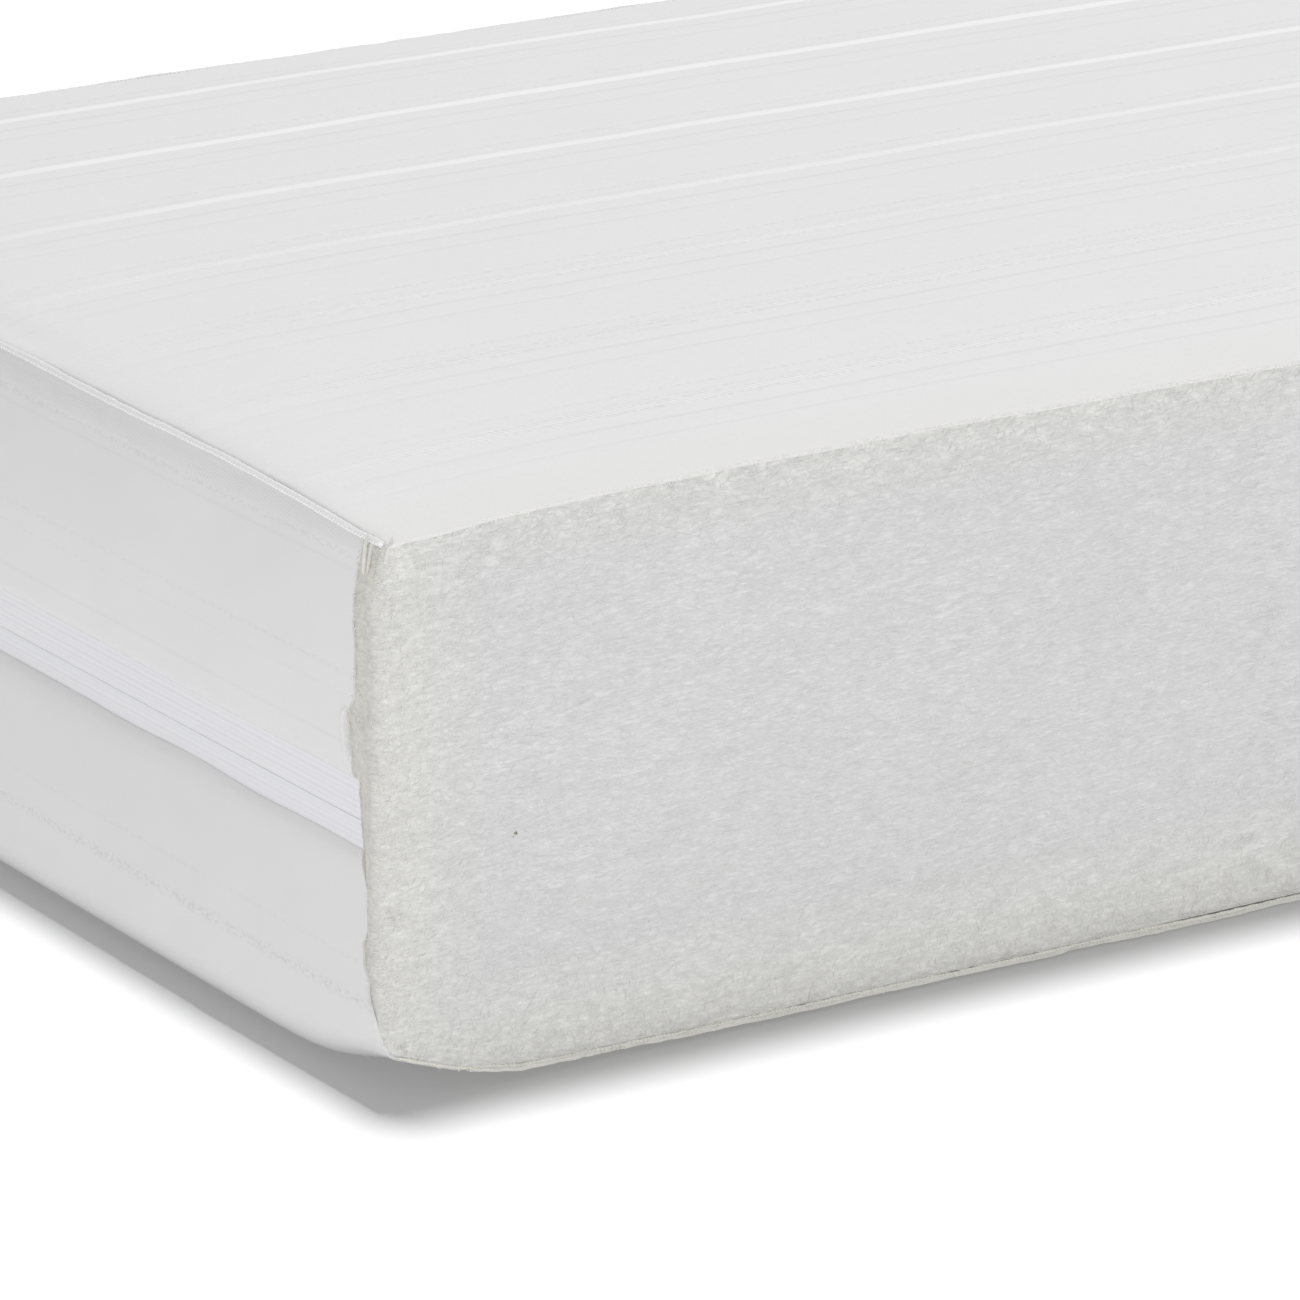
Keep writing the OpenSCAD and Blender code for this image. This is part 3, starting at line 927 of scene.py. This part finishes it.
def seam_cord(name, node, inset, height, radius, end_gap):
    """A sewn seam: a slightly uneven roll of cloth with a stitch every few millimetres."""
    s = np.arange(end_gap, RAIL_LENGTH - end_gap, 0.9)[:, None]
    turn = np.arange(10) * 2 * math.pi / 10
    if height > TOP_Z / 2:
        at_back = np.clip((from_cut(s) - SIDE_RUN) / CORNER_RUN, 0, 1)
        height = height - seam_drop(s) - 0.45 * at_back
        inset = inset + seam_pull(s)
    else:
        height = height + 4.3 * bell(from_cut(s), LIFT_REACH)
    size = radius * (1 + 0.05 * np.cos(2 * math.pi * s / 3.1)
                     + 0.12 * value_noise(s / 5.0, 0.1, 91))
    wobble = 0.25 * value_noise(s / 12.0, 0.6, 93)
    rings = around(s + 0 * turn, inset + size * np.cos(turn),
                   height + wobble + size * np.sin(turn))
    mesh_piece(name, *closed_roll(rings), SEAM, "seam_thread", [node])


# The frayed ends of the zip's tapes: heights, and how far back they stop.
TAPE_FRAY = ((51, 9.0), (55, 10.5), (59, 12.6), (64, 13.8), (72, 14.8), (77, 14.8), (81, 13.9))
TAPE_STOP = 15.0


def zip_droop(s):
    """The zip hangs a little unevenly."""
    return 0.24 * value_noise(s / 60.0, 0.4, 98)


def make_tape(name, node, low, high, side):
    """One half of the zip's woven tape, with ribs along it and a frayed cut end."""
    z = np.concatenate([[high], np.linspace(high - 0.012, low + 0.012, 36), [low]])[None, :]
    fray = table_value(z, TAPE_FRAY) - 0.9 + 0.5 * value_noise(z / 0.9, 0.2 + side, 95)
    fray = fray + 0.3 * value_noise(z / 4.0, 0.5, 96)
    s = stretch_ends(border_rows(), fray, TAPE_STOP)
    inset = TAPE_INSET - 0.03 * np.cos(2 * math.pi * (z - ZIP_Z) / 2.1) + 0 * s
    points, faces = strip_round(s, inset, z + zip_droop(s), 0.6, hem=0.05)
    mesh_piece(name, points, faces[:, ::-1], TAPE, "zip_tape", [node])


def make_coil(name, node, centre):
    """One row of coil teeth: a real helix of thin wire, 1.5 mm from turn to turn."""
    pitch, per_turn = 1.5, 8
    start, stop = 15.5, RAIL_LENGTH - 17.0
    turns = int((stop - start) / pitch)
    t = np.arange(turns * per_turn + 1) / per_turn
    s = start + t * pitch
    inset = 7.4 + 0.85 * np.cos(2 * math.pi * t)
    z = centre + 1.25 * np.sin(2 * math.pi * t) + zip_droop(s)
    points, faces = tubes(around(s, inset, z)[None], 0.34, sides=5)
    mesh_piece(name, points, faces, COIL, "zip_coil", [node])


# ---------------------------------------------------------------- wadding and foam

FIBRE_X = HALF_X - 1.7
# The foot of the raw face: heights, and how far in from the side it ends there.
FOOT = ((1.05, 240), (1.95, 95), (2.5, 62), (2.85, 45), (4.4, 30), (5.95, 22.5), (7.7, 17.0),
        (9.35, 13.0), (10.7, 9.5), (11.6, 7.0), (12.9, 5.0), (14.9, 3.7), (18.4, 2.3),
        (22.0, 1.5), (30.0, 1.4), (122, 1.5), (131, 2.8), (138, 4.4))


def cover_end(z, far):
    """How far back the cover or the zip's tape ends beside the pad, at height z."""
    upper = cut_back(z, UPPER_CUT, far)
    lower = cut_back(z, LOWER_CUT, far)
    tape = TAPE_STOP + 0 * z if far else table_value(z, TAPE_FRAY)
    return np.where(z > UPPER_EDGE, upper, np.where(z < LOWER_EDGE, lower, tape))


def wadding_half_width(z):
    """Half the width of the front pad's face at height z."""
    return HALF_X - table_value(z, FOOT) + 0.35 * bell(z - 17.0, 6.0)


def cloth_inset(z):
    """How far in the nearer border's cloth is at height z, without its curled hem."""
    upper = upper_inset(np.maximum(z, UPPER_EDGE))
    lower = lower_inset(np.clip(z, TURN_RADIUS, LOWER_EDGE))
    return np.where(z > ZIP_Z, upper, lower)


def under_cover(z):
    """How far in the pad's side is where the cover and the zip's tapes lie on it."""
    inside = cloth_inset(z) + CLOTH / 2 + 0.1
    over_zip = np.clip((17.0 - np.abs(z - ZIP_Z)) / 3.0, 0, 1)
    inside = np.maximum(inside, (HEM_INSET + 1.44) * over_zip)
    return np.maximum(inside, HALF_X - wadding_half_width(z))


def wad_top(x):
    """The pad's upper outline under the top panel."""
    y = np.full_like(x, FRONT_Y + 0.5)
    return top_surface(x, y) - CLOTH - 0.06 - stripe_relief(y)


def edge_round(x, z):
    """How far back the face's rounded edge goes: little along the foot, more at the sides."""
    inset = HALF_X - np.abs(x)
    at_foot = np.interp(inset, (4.5, 7.0, 11.0, 20.0), (3.4, 1.8, 1.0, 0.8))
    beside = table_value(z, LOWER_CUT) - 0.25
    beside = np.where(z < LOWER_EDGE, np.clip(beside, 0.15, 4.4), 4.4)
    share = np.clip((z - 9.0) / 5.0, 0, 1)
    return at_foot + (beside - at_foot) * share


def face_details(x, z):
    """A crease in the wadding by the lower border's end and a small hollow at its foot."""
    x, z = x + 446.5, z - 49.0
    along = (x * 3.0 - z * 6.0) / 6.7
    off = (x * 6.0 + z * 3.0) / 6.7
    crease = 0.75 * bell(off, 0.75) - 0.35 * bell(off + 2.2, 1.2)
    hollow = 1.5 * bell(np.hypot(x - 5.1, z + 35.4), 1.1)
    return crease * bell(along - 3.3, 3.0) - hollow


def front_face_depth(x, z):
    """How far forward the pad's raw face stands at a place."""
    inset = HALF_X - np.abs(x)
    aside = np.maximum(wadding_half_width(z) - np.abs(x), 0.0)
    heights, insets = zip(*reversed(FOOT[:13]))
    foot = np.interp(inset, insets, heights)
    above = np.where(z > 26.0, 50.0, np.maximum(z - foot, 0.0))
    side = aside * above / np.maximum(np.hypot(aside, above), 1e-6)
    deep = edge_round(x, z)
    part = 1 - np.clip(side / (0.95 * deep), 0, 1)
    rounded = deep * (1 - np.sqrt(np.clip(1 - part**2, 0, 1)))
    crest = np.clip(z - (wad_top(x) - 3.0), 0, 3.0)
    tucked = 0.15 * (crest / 3.0) ** 2
    edge = fade(side, 24.0) + fade(z, 18.0) + 0.6 * np.exp(-(TOP_Z - z) / 9.0)
    fluff = 0.40 * fbm(x / 30.0, z / 17.0, 101, 3)
    fluff = fluff + (0.07 + 0.22 * np.clip(edge, 0, 1)) * fbm(x / 9.0, z / 5.5, 105, 2, 0.6)
    settle = np.clip(side / 2.0, 0.25, 1)
    return FRONT_Y + 0.35 + rounded + tucked - fluff * settle - face_details(x, z)


def zip_filling(z):
    """How much further back the front pad reaches beside the end of the zip."""
    return 8.9 * bell(z - 69.0, 24.0)


def pad_columns():
    """Places across the front pad, close together over the part seen from the cut corner."""
    return np.concatenate([np.linspace(-1, -0.985, 16)[:-1], np.arange(-0.985, -0.45, 0.0025),
                           joined((-0.45, 0.97, 104), (0.97, 1, 14))])


def cover_middle(z):
    """How far in the middle of the cover's cloth, or of the zip's tape, lies at height z."""
    curl = np.where(z > ZIP_Z, UPPER_CURL * bell(z - UPPER_EDGE, 2.0),
                    LOWER_CURL * bell(z - LOWER_EDGE, 2.0))
    on_zip = (z <= UPPER_EDGE) & (z >= LOWER_EDGE)
    return np.where(on_zip, TAPE_INSET, cloth_inset(z) + curl)


def side_strip(column, side, limit):
    """Points running back from the face's last column, along the pad's side.

    The wadding presses against the cover's cut end and then dips under it."""
    height = column[..., 2]
    end = FRONT_Y + cover_end(height, 0 if side < 0 else 1)
    end = np.minimum(end, limit + zip_filling(height) - 2.0)
    start = column[..., 1]
    share = np.array([[0.2, 0.4, 0.6, 0.8]])
    near = np.array([[-1.6, -1.2, -0.8, -0.4, 0.0, 0.5, 0.9, 1.2, 1.7]])
    y = np.concatenate([start + (end - 1.6 - start) * share, end + near], axis=1)
    y = np.maximum(y, start + 0.03 * np.arange(1, y.shape[1] + 1))
    under = under_cover(height)
    face_inset = HALF_X - np.abs(column[..., 0])
    swollen = np.maximum(cover_middle(height) + 0.05, 0.35)
    at_foot = np.clip((26.0 - height) / 4.0, 0, 1)
    swollen = swollen + np.maximum(face_inset - swollen, 0) * at_foot
    part = np.clip((y - start) / np.maximum(end - 0.6 - start, 0.3), 0, 1)
    inset = face_inset + (swollen - face_inset) * smooth_step(part)
    dip = np.clip((y - (end + 0.9)) / 0.8, 0, 1)
    inset = inset + (under - inset) * smooth_step(dip)
    strip = points_at(side * (HALF_X - inset), y, height)
    return strip[:, ::-1] if side < 0 else strip


def make_front_wadding():
    """The raw face of the mattress: a pad of wadding with a lumpy fibrous front.

    Its first and last columns of points run back along its two sides, under the cover."""
    v = joined((0, 0.14, 30), (0.14, 0.93, 82), (0.93, 1, 10))[:, None]
    low, high = FOOT[0][0], 138.2
    grid_x = wadding_half_width(low + (high - low) * v) * pad_columns()
    grid_z = low + (wad_top(grid_x) - low) * v
    face = points_at(grid_x, front_face_depth(grid_x, grid_z), grid_z)
    limit = node_box("front_wadding")[1][1] - 0.2
    strips = [side_strip(face[:, :1], -1, limit), side_strip(face[:, -1:], 1, limit)]
    outer = np.concatenate([strips[0], face, strips[1]], axis=1)
    inset = HALF_X - np.abs(outer[..., 0])
    order = np.arange(outer.shape[1])
    order = np.minimum(order, order[::-1])
    held = np.maximum(inset, under_cover(outer[..., 2]) + 0.03 * order)
    inner = outer.copy()
    inner[..., 0] = np.sign(outer[..., 0]) * (HALF_X - held)
    inner[..., 1] = limit + zip_filling(outer[..., 2]) * bell(held - 5.0, 9.0)
    roof = top_surface(outer[..., 0], inner[..., 1]) - CLOTH - 0.8
    inner[..., 2] = np.minimum(outer[..., 2], roof)
    points, faces = closed_sheet(outer, inner)
    piece = mesh_piece("wadding_front", points, faces, WADDING, "wadding", ["front_wadding"])


def surface_fibres(name, low, high, seed, curl):
    """Loose fibres on the raw face from x = low to high, mostly lengthwise, curlier by its edges."""
    draw = np.random.default_rng(seed)
    count, steps = 5100, 7
    near_edge = draw.random(count) < 0.2
    z = 1.5 + (TOP_Z - 3.5) * draw.random(count) ** np.where(near_edge, 3.0, 1.0)
    x = low + (high - low) * draw.random(count) ** np.where(draw.random(count) < 0.12, 3.0, 1.0)
    side = np.maximum(wadding_half_width(z) - np.abs(x), 0.0)
    edge = fade(side, 18.0) + fade(z, 16.0) + 0.7 * fade(TOP_Z - z, 8.0)
    wild = np.clip(np.clip(edge, 0, 1) + curl, 0, 1)
    direction = draw.normal(0, 1, count) * (0.17 + 1.1 * wild)
    bend = draw.normal(0, 1, count) * (0.05 + 0.35 * wild)
    step = (2.0 + 3.6 * draw.random(count)) * (1.15 - 0.5 * wild) / (steps - 1)
    loft = (0.01 + 0.05 * draw.random(count) ** 2) * (0.5 + 2.0 * wild)
    path = np.zeros((count, steps, 3))
    for k in range(steps):
        keep_x = np.clip(x, -FIBRE_X, FIBRE_X)
        keep_z = np.clip(z, 1.8, wad_top(keep_x) - 0.2)
        half = wadding_half_width(keep_z) - 0.3
        keep_x = np.clip(keep_x, -half, half)
        arch = loft * math.sin(math.pi * k / (steps - 1)) + 0.01
        path[:, k] = points_at(keep_x, front_face_depth(keep_x, keep_z) - arch, keep_z)
        direction = direction + bend + draw.normal(0, 1, count) * (0.05 + 0.28 * wild)
        x = x + step * np.cos(direction)
        z = z + step * np.sin(direction) * 0.8
    radius = (0.07 + 0.07 * draw.random(count))[:, None]
    points, faces = tubes(path, radius, sides=3, flat=0.3)
    mesh_piece(name, points, faces, FIBRE, "wadding", smooth=False)


def make_side_wadding(name, node, side):
    """A side pad: it fills the cover's bulge and leaves room for the zip."""
    turn = np.linspace(0, 1.45, 14)
    inner_radius = TURN_RADIUS - CLOTH / 2 - 1.2
    z = np.concatenate([np.linspace(TOP_Z - 4.5, TURN_RADIUS, 60)[:-1],
                        TURN_RADIUS - inner_radius * np.sin(turn)])
    room = np.where(z > UPPER_EDGE, upper_inset(z), lower_inset(z)) + CLOTH / 2 + 1.1
    arc = TURN_RADIUS - inner_radius + 0.6 + rounded_off(TURN_RADIUS - z, inner_radius)
    room = np.where(z < TURN_RADIUS, arc, room)
    room = np.where(np.abs(z - ZIP_Z) < 16.5, np.maximum(room, HEM_INSET + 1.7), room)
    room = np.where(np.abs(z - ZIP_Z) < 5.2, 9.1, room)
    low, high = node_box(node)
    y = joined((low[1] + 0.4, -60, 110), (-60, high[1] - 0.4, 50))
    extra = rounded_off(y - (BACK_Y - PLAN_RADIUS), PLAN_RADIUS)[:, None]
    grid_y = y[:, None] + zip_filling(z) * fade(y - y[0], 25.0)[:, None]
    fluff = 0.45 * (fbm(grid_y / 7.0, z / 5.0, 141 + (side > 0)) + 0.6)
    inset = room + extra + fluff
    outer = points_at(side * (HALF_X - inset), grid_y, z)
    raised = base_lift(outer[..., 0], grid_y)
    outer[..., 2] = np.maximum(outer[..., 2], raised + 1.7)
    tight = 3.0 * np.clip(raised / 2.0, 0, 1) * np.clip((24.0 - z) / 12.0, 0, 1)
    outer[..., 0] = outer[..., 0] - side * tight
    inner = outer.copy()
    inner[..., 0] = side * (HALF_X - 21.6 - 0.2 * extra)
    points, faces = closed_sheet(outer, inner)
    if side > 0:
        faces = faces[:, ::-1]
    piece = mesh_piece(name, points, faces, WADDING, "wadding", [node])


def soft_copy(name, node, material, voxel, roughen):
    """A padded layer inside the cover: the CAD layer remeshed and given a soft, uneven face."""
    source = frame["nodes"][node]
    mesh = source.data.copy()
    piece = bpy.data.objects.new(name, mesh)
    bpy.context.scene.collection.objects.link(piece)
    piece.matrix_world = source.matrix_world.copy()
    remesh = piece.modifiers.new("remesh", "REMESH")
    remesh.mode = "VOXEL"
    remesh.voxel_size = voxel * MM
    remesh.use_smooth_shade = True
    graph = bpy.context.evaluated_depsgraph_get()
    result = bpy.data.meshes.new_from_object(piece.evaluated_get(graph))
    piece.modifiers.clear()
    piece.data = result
    points = np.empty(len(result.vertices) * 3)
    result.vertices.foreach_get("co", points)
    points = points.reshape(-1, 3) / MM
    low, high = points.min(axis=0), points.max(axis=0)
    x, y, z = points.T
    lumps = fbm((x + z) / 21.0, (y - z) / 21.0, 131)
    thin = int(np.argmin(high - low))
    middle, half = (low + high)[thin] / 2, (high - low)[thin] / 2
    shrink = np.clip((0.45 + roughen * (0.5 + 0.5 * lumps)) / half, 0, 0.3)
    points[:, thin] = middle + (points[:, thin] - middle) * (1 - shrink)
    ceiling = top_surface(x, y) - stripe_relief(y) - CLOTH - 0.8
    z[:] = np.maximum(np.minimum(z, ceiling), base_lift(x, y) + 1.5)
    result.vertices.foreach_set("co", (points * MM).ravel())
    result.update()
    result.materials.clear()
    result.materials.append(material)
    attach(piece, "mattress")
    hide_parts(node)


# ---------------------------------------------------------------- loose ends at the cut

def cut_edge_threads(name, seed):
    """Short thread ends along the cut edges of the top panel, the borders and the base."""
    draw = np.random.default_rng(seed)
    tufts = []

    def tuft(start, sideways, upwards, least, extra):
        """Thread ends at start, with the mean and spread of their lean and their lengths."""
        count = len(start)
        way = points_at(draw.normal(*sideways, count), -1.0, draw.normal(*upwards, count))
        tufts.append((start, way, least + extra * draw.random(count) ** 2))

    x = np.arange(-PANEL_HIGH[0] + 1, PANEL_HIGH[0] - 1, 0.75)
    x = x + draw.normal(0, 0.15, len(x))
    y = FRONT_Y + 0.5 + 0.35 * value_noise(x / 5.0, 0.7, 21)
    top = top_surface(x, FRONT_Y + 0.5 + 0 * x) - 0.5 * CLOTH + draw.normal(0, 0.15, len(x))
    tuft(points_at(x, y, top), (0, 0.35), (-0.25, 0.3), 0.7, 0.8)
    for table, inset_at, low, high in ((UPPER_CUT, upper_inset, UPPER_EDGE, TOP_Z - 3.0),
                                       (LOWER_CUT, lower_inset, 24.0, LOWER_EDGE)):
        z = np.arange(low, high, 0.6)
        s = cut_back(z, table, 0) + 0.4
        tuft(around(s, inset_at(z) - 0.1, z), (-0.3, 0.4), (0, 0.4), 0.7, 1.3)
    x = np.arange(-438.0, 438.0, 0.9)
    x = x + draw.normal(0, 0.2, len(x))
    tuft(points_at(x, FRONT_Y + 0.3, front_outline(x) + 0.8), (0, 0.6), (0.1, 0.35), 0.6, 0.9)
    start, way, length = (np.concatenate(part) for part in zip(*tufts))
    way /= np.linalg.norm(way, axis=1, keepdims=True)
    along = np.linspace(0, 1, 4)[None, :, None]
    droop = draw.normal(0, 0.25, (len(start), 3))
    lean = way[:, None, :] * along + droop[:, None, :] * along**2
    path = start[:, None, :] + lean * length[:, None, None]
    path[..., 2] = np.maximum(path[..., 2], 0.25)
    points, faces = tubes(path, 0.11, sides=3)
    mesh_piece(name, points, faces, CUT_THREAD, "ticking", smooth=False)


def on_face(inset, z, proud):
    """A point on the raw face, inset from its left side, standing proud of it."""
    x = -HALF_X + np.asarray(inset, float)
    z = np.asarray(z, float)
    return points_at(x, front_face_depth(x, z) - proud, z)


def round_rolls(name, paths, radius, material, slot, flat=0.8):
    """A few thicker soft rolls along given lines, thin at both ends."""
    steps = 14
    where = np.linspace(0, 1, steps)
    smooth = []
    for path in paths:
        path = np.asarray(path, float)
        along = np.linspace(0, 1, len(path))
        line = np.stack([np.interp(where, along, path[:, k]) for k in range(3)], axis=1)
        line[1:-1] = (line[:-2] + line[1:-1] * 2 + line[2:]) / 4
        smooth.append(line)
    size = np.array(radius)[:, None] * np.sqrt(np.clip(4 * where * (1 - where), 0.1, 1))[None]
    points, faces = tubes(np.array(smooth), size, sides=8, flat=flat)
    mesh_piece(name, points, faces, material, slot)


def corner_tucks():
    """The gathered end of the top seam: short bright folds fanning down over the wadding."""
    lines = [
        on_face((2.2, 1.6, 1.2, 1.0), (137.6, 134.6, 131.4, 128.0), -0.1),
        on_face((3.9, 3.2, 2.5, 2.1), (137.4, 134.4, 131.4, 128.4), -0.05),
        on_face((6.4, 5.7, 5.0, 4.6), (137.2, 134.8, 132.6, 130.6), -0.1),
    ]
    round_rolls("corner_tucks", lines, [0.55, 0.6, 0.7], TUCK, "wadding", 0.6)


def curled_hem():
    """The raw end of the upper border, curled over just above the zip."""
    z = np.array([95.0, 92.0, 88.0, 84.0, 80.5])
    s = cut_back(z, UPPER_CUT, 0) + np.array([0.9, 1.2, 1.3, 1.2, 1.0])
    line = around(s, upper_inset(z) - 0.55, z)
    round_rolls("curled_hem", [line], [1.35], BORDER, "border_ticking", 0.75)


def seed_speck():
    """One tiny dark fleck caught in the wadding."""
    lines = [on_face((38.4, 38.8), (60.6, 60.3), 0.1), on_face((38.9, 39.1), (60.9, 60.1), 0.1),
             on_face((38.1, 38.2), (59.9, 59.6), 0.1)]
    round_rolls("seed_speck", lines, [0.24, 0.2, 0.13], SPECK, "wadding", 1.0)


# ---------------------------------------------------------------- the scene

make_top()
make_upper_border()
make_lower_border()
make_base()
make_base_edge()
seam_cord("seam_top", "top_seam", 3.1, TOP_Z - 1.05, 0.85, 1.0)
seam_cord("seam_bottom", "bottom_seam", LAP + 1.0, 1.2, 0.9, 1.5)
make_tape("tape_upper", "upper_zip_tape", ZIP_Z + 0.01, ZIP_Z + 15.0, 0.0)
make_tape("tape_lower", "lower_zip_tape", ZIP_Z - 15.0, ZIP_Z - 0.01, 1.0)
make_coil("coil_upper", "upper_zip_coil", ZIP_Z + 2.1)
make_coil("coil_lower", "lower_zip_coil", ZIP_Z - 2.1)
make_front_wadding()
for index in range(5):
    surface_fibres(f"fibres_near_{index}", -447.5, -185.0, 300 + index, 0.04 * index)
for index in range(2):
    surface_fibres(f"fibres_far_{index}", -185.0, 446.0, 310 + index, 0.06 * index)
for side, voxel in (("top", 4.0), ("bottom", 4.0), ("back", 3.0)):
    soft_copy(f"wadding_{side}", f"{side}_wadding", WADDING, voxel, 0.9)
make_side_wadding("wadding_left", "left_wadding", -1)
make_side_wadding("wadding_right", "right_wadding", 1)
soft_copy("foam_memory", "memory_foam", MEMORY, 5.0, 0.5)
soft_copy("foam_support", "base_foam", SUPPORT, 5.0, 0.5)
cut_edge_threads("cut_threads", 400)
corner_tucks()
curled_hem()
seed_speck()
for node in ("zip_slider", "zip_pull"):
    frame["nodes"][node].data.materials.clear()
    frame["nodes"][node].data.materials.append(METAL)


def make_floor():
    """A plain pale floor."""
    mesh = bpy.data.meshes.new("floor")
    reach, level = 40.0, -0.0004
    mesh.from_pydata([(-reach, -reach, level), (reach, -reach, level), (reach, reach, level),
                      (-reach, reach, level)], [], [(0, 1, 2, 3)])
    floor = bpy.data.objects.new("floor", mesh)
    bpy.context.scene.collection.objects.link(floor)
    paint = Surface("floor", 0.9, Specular_IOR_Level=0.0, Emission_Color=(1, 1, 1, 1),
                    Emission_Strength=0.22)
    paint.colour(paint.mix(paint.noise(300, 2.0), grey(0.30), grey(0.304)))
    mesh.materials.append(paint.material)
    return floor


def area_light(name, place, target, size, power, only):
    """An oval light at a place, aimed at target. It shines on one collection only."""
    data = bpy.data.lights.new(name, "AREA")
    data.shape = "ELLIPSE"
    data.size, data.size_y = size
    data.energy = power
    light = bpy.data.objects.new(name, data)
    bpy.context.scene.collection.objects.link(light)
    back = (Vector(place) - Vector(target)).normalized()
    across = Vector((0, 1, 0)).cross(back).normalized()
    turned = Matrix((across, back.cross(across), back)).transposed().to_4x4()
    turned.translation = place
    light.matrix_world = turned
    light.light_linking.receiver_collection = only


def make_lights(floor):
    """Soft studio light: a pale surround, a high light from behind, fills, and a floor light."""
    world = bpy.data.worlds.new("surround")
    world.use_nodes = True
    world.node_tree.nodes["Background"].inputs[0].default_value = (1, 1, 1, 1)
    world.node_tree.nodes["Background"].inputs[1].default_value = 0.57
    bpy.context.scene.world = world
    on_floor = bpy.data.collections.new("floor_light")
    on_floor.objects.link(floor)
    area_light("floor_key", (0.0, 1.02, 12.0), (0, 0, 0), (1.7, 2.04), 3300.0, only=on_floor)
    soft = bpy.data.collections.new("object_light")
    for piece in bpy.context.scene.objects:
        if piece is not floor and piece.type == "MESH":
            soft.objects.link(piece)
    area_light("top_key", (0.9, 1.35, 3.1), (0.0, 0.0, 0.1), (2.6, 2.6), 54.0, only=soft)
    for name, place, target, size in (
            ("corner_fill", (-0.80, -0.62, 0.30), (-0.45, -0.20, 0.06), 0.35),
            ("right_fill", (0.05, -0.75, 0.35), (-0.15, -0.20, 0.07), 0.40)):
        area_light(name, place, target, (size, size), 0.7, only=soft)


def make_camera():
    """A long lens that looks down at the cut corner, as in the photograph."""
    data = bpy.data.cameras.new("camera")
    data.sensor_fit = "HORIZONTAL"
    data.sensor_width = 36.0
    data.lens = 217.7
    data.clip_start, data.clip_end = 0.1, 200.0
    camera = bpy.data.objects.new("camera", data)
    bpy.context.scene.collection.objects.link(camera)
    tilt, yaw, roll = (math.radians(a) for a in (18.0975, 33.2065, 0.333))
    ahead = Vector((math.sin(yaw) * math.cos(tilt), math.cos(yaw) * math.cos(tilt),
                    -math.sin(tilt)))
    right = Vector((math.cos(yaw), -math.sin(yaw), 0))
    up = right.cross(ahead)
    turned_right = right * math.cos(roll) + up * math.sin(roll)
    turned_up = up * math.cos(roll) - right * math.sin(roll)
    basis = Matrix((turned_right, turned_up, -ahead)).transposed().to_4x4()
    basis.translation = Vector((-1.32187, -1.64709, 0.66384))
    camera.matrix_world = basis
    bpy.context.scene.camera = camera


make_lights(make_floor())
make_camera()
bpy.context.scene.view_settings.view_transform = "Standard"
bpy.context.scene.view_settings.look = "None"
